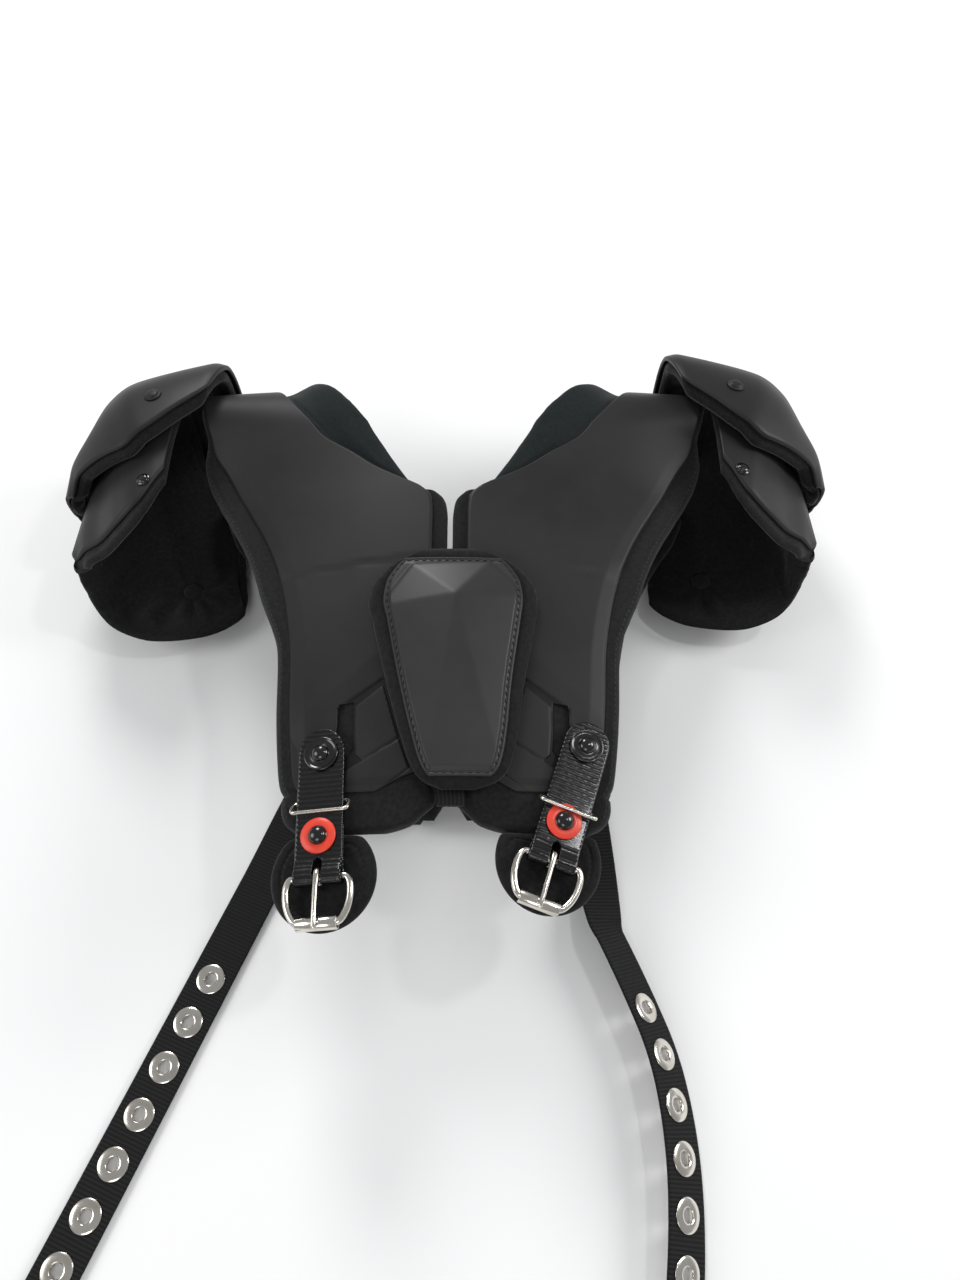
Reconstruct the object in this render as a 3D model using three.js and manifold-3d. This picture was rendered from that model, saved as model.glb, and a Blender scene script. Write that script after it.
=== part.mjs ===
// Youth football shoulder pad, lying on its back. Millimetres, +Z up, +Y towards the neck.
// The origin is the middle of the flat back face that it rests on. Left is the side of negative X.
import * as THREE from 'three';
import { mergeVertices } from 'three/addons/utils/BufferGeometryUtils.js';
import Module from 'manifold-3d';

const wasm = await Module();
wasm.setup();

// Fits between pieces
const seatGap = 0.3; // between pieces that touch
const runGap = 0.4; // round a bar or a post
const softGap = 0.6; // between curved pieces
const layerGap = 0.85; // between curved layers with different facets

// Arch shells
const halfSpan = 176; // centre line to the outer edge of an arch
const archReach = 62; // arch crown beyond its axis, along Y
const archHalf = 61; // half of the depth from front shell to back shell
const archLine = 104.5; // Y of the arch's axis
const frontLength = 251.5; // front shell below the axis
const backLength = 235; // back shell below the axis
const frontSlope = 0.0676; // fall of the front shell for each mm towards its hem
const frontBow = 0.00127; // fall of the shell beside the centre line, per mm squared
const archBow = 0.0002;
const backBow = 0.0007;
const shellThick = 2.4;
const linerThick = 11;
const linerLap = 9; // liner past the shell's edges
const archLap = 2; // the same over the crown
const linerHem = 21; // liner below the shell's hem
const slotWidth = 9; // slot low on the chest
const slotHeight = 34;
const slotDown = 0.874; // slot below the axis, as a share of the front shell
const slotAcross = 0.32; // slot from the centre line, as a share of the half span
const linerMiddle = 1.2; // liner from the centre line
const linerFoot = 0.92; // share of the front shell below which the liner's inner edge runs straight

// Neck pads
const neckReach = 38; // past the shell's neck edge
const neckFlare = 9; // above the shell's crown
const neckThick = 12;
const neckTuck = 9; // under the shell
const neckEase = 0.01; // share of a leg over which the liner makes way for the neck pad

// Epaulets and cups
const capHalf = 63.5; // half of the depth from front to back
const capReach = 88; // past the arch's outer edge
const capRise = 82; // ridge beyond the arch's axis, along Y
const capSink = 0.7; // epaulet's back below the back shell
const capSlump = 4.5; // the left cap has slid outwards and down by this, the right one in and up
const epauletThick = 3;
const epauletPadThick = 9;
const epauletPadLap = 2;
const hingeThick = 2;
const hingeWidth = 25.4;
const cupThick = 2.4;
const liningThick = 6;
const liningLap = 9;
const capRivetRadius = 5.8;
const cupRivetRadius = 4.6;
const rivetHeight = 2.4;

// Chest pad and plate
const chestLength = 148;
const chestBelow = 2; // pad's lower end below the shells' hem
const chestHalf = 48;
const chestShift = 3; // the pad sits a little to the right
const chestPadThick = 7;
const plateInset = 8.5; // plate inside the pad's outline
const plateFoot = 5.1; // plate inside the pad's lower end
const plateApexAt = 0.25; // apex below the upper edge, as a share of the length
const plateEdge = 2.2; // thickness at the stitched rim
const plateFacet = 3.6; // more at the facets' corners
const plateApex = 7.2; // more at the facets' highest point

// Buckle straps
const strapWidth = 25.4;
const strapThick = 2;
const strapTail = 66; // rivet to the buckle's bar
const strapHead = 14.5; // rivet to the strap's rounded end
const strapAcross = 67; // rivet from the centre line, left
const strapAbove = 20.5; // rivet above the shell's hem, left
const strapTurns = { left: 2, right: -18 }; // degrees about the shell's normal
const strapShiftOut = 9; // right strap further out than the left one
const strapShiftUp = 5; // and higher
const prongSlot = 5;
const slotAbove = 10; // slot above the buckle's bar
const washerRadius = 9.5;
const washerThick = 1.4;
const domeRadius = 4.75;
const domeHeight = 3.4;
const postRadius = 2.8;
const keeperAt = 29; // below the rivet
const keeperWidth = 33;
const keeperWire = 1.1;
const keeperSpan = 6; // between its upper and lower side, along the strap
const keeperShift = 7.6; // right keeper further down, over the red washer
const keeperRaise = 2.2; // and more upright by this
const snapAt = 45;
const frameWidth = 37;
const frameHeight = 27;
const frameCorners = [3.4, 5.5]; // upper and lower
const frameWire = 2;
const prongWire = 1.4;
const rollerRadius = 3.6;
const rollerLength = 21.5;
const flapRadius = 28.5;
const flapDrop = 64; // rivet to the middle of the flap
const flapThick = 6;
const flapBevel = 1.6;
const flapNeck = 0.92; // half width at the hem, as a share of the flap's

// Belts
const beltWidth = 25.4;
const beltThick = 1.6;
const beltLength = 332;
const beltInset = 80; // start of the belt from the centre line
const beltAbove = 52.5; // start of the belt above the back shell's lower edge
const beltShiftOut = 4; // right belt further out than the left one
const beltShiftDown = 10; // and lower
const beltDrop = [0.12, 0.3]; // shares of the length between which it comes down to the floor
const grommetPitch = 25.4;
const grommetCount = 7;
const beltTip = 22.6; // last grommet to the belt's end
const grommetRadius = 8.5;
const grommetHole = 3.5;
const grommetBarrel = 4.3;
const flangeThick = 0.9;
const flangeGap = 0.5;

// Back bridge
const bridgeThick = 3.7;
const bridgeHalf = 62;
const bridgeAbove = 56; // above the origin, along Y
const bridgeBelow = 96;
const linkWidth = 15;
const linkHeight = 7;
const linkThick = 3;

// Places that follow
const archMid = bridgeThick + seatGap + archHalf;
const capMid = bridgeThick - capSink + capHalf;
const linerTop = shellThick + layerGap; // depth of the liner's outer face under the shell's
const padTop = epauletThick + layerGap;
const capStack = padTop + epauletPadThick + hingeThick + 2 * softGap;

const chestTop = archLine - frontLength - chestBelow + chestLength; // Y of the pad's upper edge
const strapDown = frontLength - strapAbove; // rivet below the arch axis
const foldStart = keeperAt + keeperShift + keeperWire + seatGap; // rivet to the end of the strap's fold
const beltStart = backLength - beltAbove; // start of the belt below the arch axis
const grommetFirst = beltLength - beltTip - (grommetCount - 1) * grommetPitch;

const sides = [{ name: 'left', sign: -1 }, { name: 'right', sign: 1 }];

const model = new THREE.Group();

const finishes = {
  shell: { color: 0x343434, roughness: 0.55, metalness: 0 },
  fabric: { color: 0x17181a, roughness: 0.95, metalness: 0 },
  neckFabric: { color: 0x1b2628, roughness: 0.7, metalness: 0 },
  webbing: { color: 0x202020, roughness: 0.85, metalness: 0 },
  vinyl: { color: 0x0c0c0c, roughness: 0.25, metalness: 0 },
  blackSnap: { color: 0x101010, roughness: 0.25, metalness: 0 },
  redWasher: { color: 0xe8402a, roughness: 0.4, metalness: 0 },
  nickel: { color: 0xc9c6be, roughness: 0.25, metalness: 1 },
};

// Rows of numbers become rows with named columns
function table(columns, rows) {
  return rows.map((row) => Object.fromEntries(columns.map((name, k) => [name, row[k]])));
}

// Value of one column at a place between two rows
function lookUp(rows, key, column, at) {
  let k = 1;
  while (k < rows.length - 1 && rows[k][key] < at) k += 1;
  const span = rows[k][key] - rows[k - 1][key];
  const share = (at - rows[k - 1][key]) / span;
  return rows[k - 1][column] + share * (rows[k][column] - rows[k - 1][column]);
}

function geometryFrom(positions, faces) {
  let volume = 0;
  const corner = (k) => new THREE.Vector3(...positions.slice(3 * k, 3 * k + 3));
  for (let f = 0; f < faces.length; f += 3) {
    volume += corner(faces[f]).dot(corner(faces[f + 1]).cross(corner(faces[f + 2])));
  }
  const index = volume < 0 ? faces.slice().reverse() : faces;
  const geometry = new THREE.BufferGeometry();
  geometry.setAttribute('position', new THREE.Float32BufferAttribute(positions, 3));
  geometry.setIndex(index);
  geometry.computeVertexNormals();
  return geometry;
}

// A closed slab: two faces over the same grid, outer(i, j) and inner(i, j), joined round the border
function slabGeometry(rows, columns, outer, inner) {
  const positions = [];
  const faces = [];
  const width = columns + 1;
  const count = (rows + 1) * width;
  for (const face of [outer, inner]) {
    for (let i = 0; i <= rows; i += 1) {
      for (let j = 0; j <= columns; j += 1) positions.push(...face(i, j).toArray());
    }
  }
  const quad = (a, b, c, d) => faces.push(a, b, c, a, c, d);
  for (let i = 0; i < rows; i += 1) {
    for (let j = 0; j < columns; j += 1) {
      const a = i * width + j;
      quad(a, a + 1, a + width + 1, a + width);
      quad(count + a, count + a + width, count + a + width + 1, count + a + 1);
    }
  }
  const border = [];
  for (let j = 0; j < columns; j += 1) border.push(j);
  for (let i = 0; i < rows; i += 1) border.push(i * width + columns);
  for (let j = columns; j > 0; j -= 1) border.push(rows * width + j);
  for (let i = rows; i > 0; i -= 1) border.push(i * width);
  border.forEach((a, k) => {
    const b = border[(k + 1) % border.length];
    quad(b, a, count + a, count + b);
  });
  return geometryFrom(positions, faces);
}

// A round wire along points, closed on itself or with flat ends
function wireGeometry(points, radius, sidesRound, closed) {
  const positions = [];
  const faces = [];
  const count = points.length;
  const plane = new THREE.Plane().setFromCoplanarPoints(points[0], points[1], points[2]).normal;
  points.forEach((point, k) => {
    const before = points[closed ? (k + count - 1) % count : Math.max(k - 1, 0)];
    const after = points[closed ? (k + 1) % count : Math.min(k + 1, count - 1)];
    const along = after.clone().sub(before).normalize();
    const sideways = along.clone().cross(plane).normalize();
    for (let s = 0; s < sidesRound; s += 1) {
      const turn = (2 * Math.PI * (s + 0.5)) / sidesRound;
      const spot = point.clone().addScaledVector(sideways, radius * Math.cos(turn));
      positions.push(...spot.addScaledVector(plane, radius * Math.sin(turn)).toArray());
    }
  });
  const last = closed ? count : count - 1;
  for (let k = 0; k < last; k += 1) {
    for (let s = 0; s < sidesRound; s += 1) {
      const a = k * sidesRound + s;
      const b = k * sidesRound + ((s + 1) % sidesRound);
      const c = ((k + 1) % count) * sidesRound + ((s + 1) % sidesRound);
      const d = ((k + 1) % count) * sidesRound + s;
      faces.push(a, b, c, a, c, d);
    }
  }
  if (!closed) {
    const end = (count - 1) * sidesRound;
    for (let s = 1; s < sidesRound - 1; s += 1) {
      faces.push(0, s + 1, s, end, end + s, end + s + 1);
    }
  }
  return geometryFrom(positions, faces);
}

// Solid of a closed geometry whose shared corners are merged
function solidFrom(geometry) {
  for (const name of ['normal', 'uv']) geometry.deleteAttribute(name);
  const merged = mergeVertices(geometry, 1e-4);
  const vertProperties = new Float32Array(merged.attributes.position.array);
  const triVerts = new Uint32Array(merged.index.array);
  return new wasm.Manifold(new wasm.Mesh({ numProp: 3, vertProperties, triVerts }));
}

// Joins geometries into one body and cuts others out of it
function carve(joined, cutters) {
  let solid = solidFrom(joined[0]);
  for (const part of joined.slice(1)) solid = solid.add(solidFrom(part));
  for (const cutter of cutters) solid = solid.subtract(solidFrom(cutter));
  const mesh = solid.getMesh();
  return geometryFrom(Array.from(mesh.vertProperties), Array.from(mesh.triVerts));
}

function addPiece(parent, name, geometry, finish) {
  const mesh = new THREE.Mesh(geometry, new THREE.MeshStandardMaterial(finishes[finish]));
  mesh.name = name;
  parent.add(mesh);
  return mesh;
}

// Side view of an arch: front leg for q below 0, half ellipse for q 0 to 1, back leg above 1
function spine(q) {
  const turn = Math.PI * (0.5 - THREE.MathUtils.clamp(q, 0, 1));
  const front = Math.max(-q, 0) * frontLength;
  const back = Math.max(q - 1, 0) * backLength;
  const normal = new THREE.Vector2(Math.cos(turn) / archReach, Math.sin(turn) / archHalf).normalize();
  return {
    y: archLine + archReach * Math.cos(turn) - front - back,
    z: archMid + archHalf * Math.sin(turn) - front * frontSlope,
    normal,
  };
}

function bowAt(q) {
  const toArch = THREE.MathUtils.smoothstep(q, -0.2, 0.2);
  const toBack = THREE.MathUtils.smoothstep(q, 0.8, 1.2);
  const front = THREE.MathUtils.lerp(frontBow, archBow, toArch);
  return THREE.MathUtils.lerp(front, backBow, toBack);
}

// Point of the shell's outer face at q and x, moved outwards by lift
function torsoPoint(q, x, lift) {
  const { y, z, normal } = spine(q);
  const out = lift - bowAt(q) * x * x;
  return new THREE.Vector3(x, y + normal.x * out, z + normal.y * out);
}

const frontQ = (y) => (y - archLine) / frontLength; // q of a Y on the front leg
const backQ = (y) => 1 + (archLine - y) / backLength; // q of a Y on the back leg

// Edges of an arch shell, as shares of its leg's length and of the half span
const frontEdges = table(['along', 'inner', 'outer'], [
  [1.0, 0.215, 0.445],
  [0.975, 0.148, 0.468],
  [0.955, 0.085, 0.476],
  [0.92, 0.06, 0.485],
  [0.8, 0.06, 0.507],
  [0.66, 0.06, 0.523],
  [0.55, 0.06, 0.55],
  [0.45, 0.06, 0.588],
  [0.37, 0.06, 0.634],
  [0.3, 0.06, 0.685],
  [0.25, 0.067, 0.727],
  [0.215, 0.11, 0.755],
  [0.19, 0.175, 0.777],
  [0.15, 0.27, 0.808],
  [0.1, 0.36, 0.85],
  [0.04, 0.475, 0.905],
]);
const crownEdges = table(['along', 'inner', 'outer'], [
  [0.05, 0.56, 0.935],
  [0.18, 0.65, 0.967],
  [0.34, 0.72, 0.99],
  [0.5, 0.735, 1.0],
  [0.66, 0.72, 0.99],
  [0.82, 0.65, 0.967],
  [0.95, 0.56, 0.935],
]);
const backEdges = table(['along', 'inner', 'outer'], [
  [0.04, 0.45, 0.91],
  [0.1, 0.32, 0.87],
  [0.15, 0.18, 0.84],
  [0.2, 0.07, 0.79],
  [0.3, 0.06, 0.71],
  [0.45, 0.06, 0.62],
  [0.7, 0.06, 0.56],
  [0.94, 0.07, 0.52],
  [1.0, 0.11, 0.47],
]);
const archRows = [
  ...frontEdges.map((row) => ({ q: -row.along, inner: row.inner, outer: row.outer })),
  ...crownEdges.map((row) => ({ q: row.along, inner: row.inner, outer: row.outer })),
  ...backEdges.map((row) => ({ q: 1 + row.along, inner: row.inner, outer: row.outer })),
];

// Liner below the shell's hem, as shares of the hem's length and of the half span
const hemEdges = table(['down', 'inner', 'outer'], [
  [1.0, 0.19, 0.42],
  [0.78, 0.1, 0.475],
  [0.54, 0.068, 0.5],
  [0.2, 0.03, 0.51],
]);

// How much the neck pad stands out and up, by its share of the way along
const neckForm = table(['along', 'reach', 'flare'], [
  [0, 0.0, 0.0],
  [0.042, 0.4, 0.1],
  [0.1, 0.78, 0.3],
  [0.153, 1.0, 0.5],
  [0.226, 1.0, 0.8],
  [0.3, 0.88, 1.0],
  [0.4, 0.72, 1.0],
  [0.52, 0.68, 1.0],
  [0.7, 0.75, 0.6],
  [0.84, 0.8, 0.3],
  [0.93, 0.4, 0.0],
  [1, 0.0, 0.0],
]);
const neckStart = -0.21; // q of the neck pad's ends
const neckEnd = 1.16;

function shellEdges(q) {
  return {
    inner: lookUp(archRows, 'q', 'inner', q) * halfSpan,
    outer: lookUp(archRows, 'q', 'outer', q) * halfSpan,
  };
}

const rimShares = { liner: 0.62, neck: 0.6, chest: 0.5 }; // thickness at a pad's rim
const neckSoftening = 0.15 * neckThick; // fall of the outer face at the neck pad's rim

function isAtNeck(q) {
  return q > neckStart - neckEase && q < neckEnd + neckEase;
}

// Edges of the liner: past the shell's, but clear of the neck pad where that takes its place
function linerEdges(q) {
  const { inner, outer } = shellEdges(q);
  const onCrown = THREE.MathUtils.smoothstep(q, -0.1, 0.05) - THREE.MathUtils.smoothstep(q, 0.95, 1.1);
  const lap = THREE.MathUtils.lerp(linerLap, archLap, onCrown);
  const foot = q < -linerFoot ? shellEdges(-linerFoot).inner : inner;
  const beside = Math.max(foot - linerLap, linerMiddle);
  return { inner: isAtNeck(q) ? inner + neckTuck : beside, outer: outer + lap };
}

function slotCutter(sign) {
  const half = slotWidth / 2;
  const outline = new THREE.Shape();
  outline.moveTo(-half, slotHeight / 2 - half);
  outline.lineTo(-half + 2, slotHeight / 2);
  outline.lineTo(half, slotHeight / 2);
  outline.lineTo(half, -slotHeight / 2 + half);
  outline.lineTo(-half, -slotHeight / 2 - 1);
  outline.closePath();
  const depth = 12 * shellThick;
  const block = new THREE.ExtrudeGeometry(outline, { depth, bevelEnabled: false });
  const middle = torsoPoint(-slotDown, slotAcross * halfSpan, -depth / 2);
  if (sign < 0) block.rotateY(Math.PI).translate(0, 0, depth);
  return block.translate(sign * middle.x, middle.y, middle.z);
}

function makeArch({ name, sign }) {
  const columns = 3;
  const shellFace = (lift) => (i, j) => {
    const { q } = archRows[i];
    const { inner, outer } = shellEdges(q);
    return torsoPoint(q, sign * THREE.MathUtils.lerp(inner, outer, j / columns), lift);
  };
  const shell = slabGeometry(archRows.length - 1, columns, shellFace(0), shellFace(-shellThick));
  addPiece(model, `arch_shell_${name}`, carve([shell], [slotCutter(sign)]), 'shell');

  const hemRows = hemEdges.map((row) => ({
    q: -1 - (row.down * linerHem) / frontLength,
    inner: row.inner * halfSpan,
    outer: row.outer * halfSpan,
  }));
  const rows = [...hemRows];
  for (const { q } of archRows) rows.push({ q, ...linerEdges(q) });
  for (const ease of [0.6 * neckEase, 1.4 * neckEase]) {
    for (const q of [neckStart - ease, neckEnd + ease]) rows.push({ q, ...linerEdges(q) });
  }
  rows.sort((a, b) => a.q - b.q);
  const linerColumns = [0, 0.07, 0.5, 0.93, 1];
  const linerFace = (depth) => (i, j) => {
    const { q, inner, outer } = rows[i];
    const atRim = j === 0 || j === linerColumns.length - 1 || i === 0 || i === rows.length - 1;
    const lift = -linerTop - (atRim ? rimShares.liner : 1) * depth;
    return torsoPoint(q, sign * THREE.MathUtils.lerp(inner, outer, linerColumns[j]), lift);
  };
  const liner = slabGeometry(rows.length - 1, linerColumns.length - 1, linerFace(0), linerFace(linerThick));
  addPiece(model, `arch_liner_${name}`, liner, 'fabric');
}

function makeNeckPad({ name, sign }) {
  const between = archRows.map((row) => row.q).filter((q) => q > neckStart && q < neckEnd);
  const places = [neckStart, ...between, neckEnd];
  const columns = [0, 0.32, 0.7, 1];
  const face = (depth) => (i, j) => {
    const q = places[i];
    const share = (q - neckStart) / (neckEnd - neckStart);
    const { inner } = shellEdges(q);
    const reach = lookUp(neckForm, 'along', 'reach', share) * neckReach;
    const flare = lookUp(neckForm, 'along', 'flare', share) * neckFlare;
    const across = columns[j];
    const x = THREE.MathUtils.lerp(inner + neckTuck - softGap, inner - reach, across);
    const free = THREE.MathUtils.smoothstep(across, 0.32, 1);
    const atRim = j === 0 || j === columns.length - 1;
    const soft = atRim ? neckSoftening : 0;
    const lift = -linerTop + flare * free - (atRim ? rimShares.neck : 1) * depth - soft;
    return torsoPoint(q, sign * x, lift);
  };
  const pad = slabGeometry(places.length - 1, columns.length - 1, face(0), face(neckThick));
  addPiece(model, `neck_pad_${name}`, pad, 'neckFabric');
}

// Sections of the epaulet from the neck outwards, as shares of the cap's reach, rise and half depth:
// its ridge, and the ends of its front and back legs
const capColumns = [
  'ridgeOut', 'ridgeUp', 'frontOut', 'frontUp', 'frontDepth', 'backOut', 'backUp', 'backDepth',
];
const epauletRows = table(capColumns, [
  [-0.27, 0.933, -0.284, 0.445, 0.937, -0.284, 0.62, -0.93],
  [-0.148, 0.994, -0.16, 0.287, 0.992, -0.16, 0.5, -0.97],
  [0.16, 0.94, 0.011, 0.104, 1.0, 0.02, 0.25, -1.0],
  [0.534, 0.823, 0.216, -0.116, 0.984, 0.25, -0.02, -1.0],
  [0.727, 0.64, 0.386, -0.238, 0.874, 0.45, -0.15, -0.96],
  [0.84, 0.31, 0.636, -0.226, 0.654, 0.67, -0.2, -0.84],
  [0.954, -0.018, 0.818, -0.226, 0.402, 0.83, -0.25, -0.62],
  [0.989, -0.274, 0.886, -0.31, 0.18, 0.91, -0.31, -0.26],
]);
const cupRows = table(capColumns, [
  [0.17, 0.92, 0.0, -0.3, 1.02, -0.14, -0.7, -1.15],
  [0.36, 0.88, 0.12, -0.575, 1.03, -0.2, -1.14, -1.22],
  [0.6, 0.75, 0.26, -0.86, 0.98, 0.02, -1.4, -1.15],
  [0.77, 0.53, 0.45, -1.0, 0.77, 0.42, -1.44, -1.1],
  [0.88, 0.2, 0.67, -1.07, 0.47, 0.77, -1.35, -0.95],
  [0.98, -0.4, 0.85, -1.08, 0.28, 0.94, -1.22, -0.74],
  [1.03, -1.0, 0.95, -1.09, 0.08, 1.0, -1.15, -0.42],
]);
const capRoundness = 2.3; // 2 is an ellipse, more is squarer

// Point of a cap at section share t and turn a, from 1 at the front leg to -1 at the back leg
function capPoint(rows, size, t, a) {
  const place = THREE.MathUtils.clamp(t, 0, 1) * (rows.length - 1);
  const k = Math.min(Math.floor(place), rows.length - 2);
  const at = (column) => THREE.MathUtils.lerp(rows[k][column], rows[k + 1][column], place - k);
  const leg = a < 0 ? 'back' : 'front';
  const turn = (Math.abs(a) * Math.PI) / 2;
  const upper = Math.max(Math.cos(turn), 0) ** (2 / capRoundness);
  const lower = Math.sin(turn) ** (2 / capRoundness);
  return new THREE.Vector3(
    halfSpan + THREE.MathUtils.lerp(at(`${leg}Out`), at('ridgeOut'), upper) * size.reach,
    archLine + THREE.MathUtils.lerp(at(`${leg}Up`), at('ridgeUp'), upper) * size.rise,
    capMid + at(`${leg}Depth`) * size.half * lower,
  );
}

function capNormal(rows, size, t, a) {
  const step = 0.02;
  const low = capPoint(rows, size, Math.max(t - step, 0), a);
  const high = capPoint(rows, size, Math.min(t + step, 1), a);
  const back = capPoint(rows, size, t, Math.max(a - step, -0.999));
  const front = capPoint(rows, size, t, Math.min(a + step, 0.999));
  return front.sub(back).cross(high.sub(low)).normalize();
}

const epauletSize = { reach: capReach, rise: capRise, half: capHalf };
const cupSize = { reach: capReach - capStack, rise: capRise - capStack, half: capHalf - capStack };
const capTop = 0.16; // half of the flat facet along the ridge, as a turn
const capTurns = [-1, -0.84, -0.64, -0.4, -capTop, capTop, 0.4, 0.64, 0.84, 1];

// Where a cap lies after it has slid on the arch
function slumped(point, sign) {
  point.x = sign * (point.x - sign * capSlump);
  point.y += sign * capSlump;
  return point;
}

const rimStep = 0.07; // how far inside the rim its direction is taken, as a turn

// One layer of a cap, from depth to depth + thick under the outer face, its rim moved out by lap
function capLayer(rows, size, sign, depth, thick, lap) {
  const last = rows.length - 1;
  const face = (under) => (i, j) => {
    const t = i / last;
    const a = capTurns[j];
    const point = capPoint(rows, size, t, a);
    const normal = capNormal(rows, size, t, a);
    const atSide = j === 0 || j === capTurns.length - 1;
    const atEnd = i === last;
    if (lap > 0 && atSide) {
      const within = capPoint(rows, size, t, a * (1 - rimStep));
      point.addScaledVector(point.clone().sub(within).normalize(), lap);
    } else if (lap > 0 && atEnd) {
      const within = capPoint(rows, size, t - rimStep / 2, a);
      point.addScaledVector(point.clone().sub(within).normalize(), lap);
    }
    return slumped(point.addScaledVector(normal, -under), sign);
  };
  return slabGeometry(last, capTurns.length - 1, face(depth), face(depth + thick));
}

const rivetSpots = {
  epaulet: { t: 0.36, a: 0.84 },
  cup: { t: 0.26, a: 0.96 },
};

// A low domed head standing on the cap's face
function capRivet(rows, size, spot, radius, sign) {
  const head = new THREE.LatheGeometry([
    new THREE.Vector2(0, 0),
    new THREE.Vector2(radius, 0),
    new THREE.Vector2(radius, 0.35 * rivetHeight),
    new THREE.Vector2(0.6 * radius, 0.85 * rivetHeight),
    new THREE.Vector2(0, rivetHeight),
  ], 10);
  const normal = capNormal(rows, size, spot.t, spot.a);
  const point = capPoint(rows, size, spot.t, spot.a).addScaledVector(normal, softGap);
  normal.x *= sign;
  head.applyQuaternion(new THREE.Quaternion().setFromUnitVectors(new THREE.Vector3(0, 1, 0), normal));
  const place = slumped(point, sign);
  return head.translate(place.x, place.y, place.z);
}

// Strap from the arch's crown to the cup's ridge, under the epaulet
function hingeStrap(sign) {
  const onArch = [0.7, 0.8, 0.9].map((share) => torsoPoint(0.5, share * halfSpan, softGap));
  const onCup = [0, 0.15, 0.28].map((t) => {
    const point = capPoint(cupRows, cupSize, t, capTop);
    return slumped(point.setZ(capMid).addScaledVector(capNormal(cupRows, cupSize, t, 0), softGap), sign);
  });
  onArch.forEach((point) => { point.x *= sign; });
  const route = [...onArch, ...onCup];
  const face = (lift) => (i, j) => {
    const point = route[i].clone();
    return point.add(new THREE.Vector3(0, lift, (j - 0.5) * hingeWidth));
  };
  return slabGeometry(route.length - 1, 1, face(hingeThick), face(0));
}

function makeCap({ name, sign }) {
  const shell = capLayer(epauletRows, epauletSize, sign, 0, epauletThick, 0);
  const pad = capLayer(epauletRows, epauletSize, sign, padTop, epauletPadThick, epauletPadLap);
  const cup = capLayer(cupRows, cupSize, sign, 0, cupThick, 0);
  const lining = capLayer(cupRows, cupSize, sign, cupThick + layerGap, liningThick, liningLap);
  addPiece(model, `epaulet_${name}`, shell, 'shell');
  addPiece(model, `epaulet_pad_${name}`, pad, 'fabric');
  addPiece(model, `shoulder_cup_${name}`, cup, 'shell');
  addPiece(model, `cup_lining_${name}`, lining, 'fabric');
  addPiece(model, `shoulder_hinge_strap_${name}`, hingeStrap(sign), 'webbing');
  const capHead = capRivet(epauletRows, epauletSize, rivetSpots.epaulet, capRivetRadius, sign);
  const cupHead = capRivet(cupRows, cupSize, rivetSpots.cup, cupRivetRadius, sign);
  addPiece(model, `epaulet_rivet_${name}`, capHead, 'shell');
  addPiece(model, `cup_rivet_${name}`, cupHead, 'shell');
}

// Outline of the chest pad, as shares of its length and of its half width
const chestEdges = table(['down', 'left', 'right'], [
  [0, -0.25, 0.2],
  [0.04, -0.62, 0.6],
  [0.1, -0.86, 0.86],
  [0.17, -1.0, 1.0],
  [0.24, -1.03, 1.03],
  [0.32, -0.97, 0.99],
  [0.6, -0.75, 0.83],
  [0.8, -0.57, 0.74],
  [0.92, -0.43, 0.64],
  [0.97, -0.3, 0.5],
  [1, -0.1, 0.26],
]);
const chestColumns = [0, 0.05, 0.28, 0.5, 0.72, 0.95, 1];

function chestPoint(down, across, lift) {
  const left = lookUp(chestEdges, 'down', 'left', down) * chestHalf;
  const right = lookUp(chestEdges, 'down', 'right', down) * chestHalf;
  const x = chestShift + THREE.MathUtils.lerp(left, right, across);
  return torsoPoint(frontQ(chestTop - down * chestLength), x, lift);
}

// Facets of the plate: highest at the apex near its top, falling to the stitched rim
function facetLift(down, across) {
  const above = (plateApexAt - down) / plateApexAt;
  const below = (down - plateApexAt) / (1 - plateApexAt);
  const beside = 1.6 * Math.abs(across - 0.5);
  return THREE.MathUtils.lerp(plateApex, plateFacet, Math.max(above, below, beside));
}

function makeChest() {
  const rows = chestEdges.length - 1;
  const last = chestColumns.length - 1;
  const padFace = (thick) => (i, j) => {
    const atRim = i === 0 || i === rows || j === 0 || j === last;
    const lift = softGap + (atRim ? rimShares.chest : 1) * thick;
    return chestPoint(chestEdges[i].down, chestColumns[j], lift);
  };
  addPiece(model, 'chest_pad', slabGeometry(rows, last, padFace(chestPadThick), padFace(0)), 'fabric');

  const plateFace = (raised) => (i, j) => {
    const atRim = i === 0 || i === rows || j === 0 || j === last;
    const share = chestEdges[i].down;
    const down = THREE.MathUtils.lerp(plateInset, chestLength - plateFoot, share) / chestLength;
    const inset = plateInset / (2 * chestHalf);
    const across = THREE.MathUtils.lerp(inset, 1 - inset, chestColumns[j]);
    const top = plateEdge + (atRim ? 0 : facetLift(share, chestColumns[j]));
    return chestPoint(down, across, 2 * softGap + chestPadThick + raised * top);
  };
  addPiece(model, 'chest_plate', slabGeometry(rows, last, plateFace(1), plateFace(0)), 'shell');
}

// Link that ties the two liners below the chest pad
function makeLink() {
  const q = frontQ(chestTop - chestLength - seatGap - linkHeight);
  const low = torsoPoint(q, linkWidth, -linerTop + layerGap);
  const block = new THREE.BoxGeometry(linkWidth, linkHeight, linkThick);
  block.translate(chestShift, low.y + linkHeight / 2, low.z + linkThick / 2);
  addPiece(model, 'lower_link', block, 'webbing');
}

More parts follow.
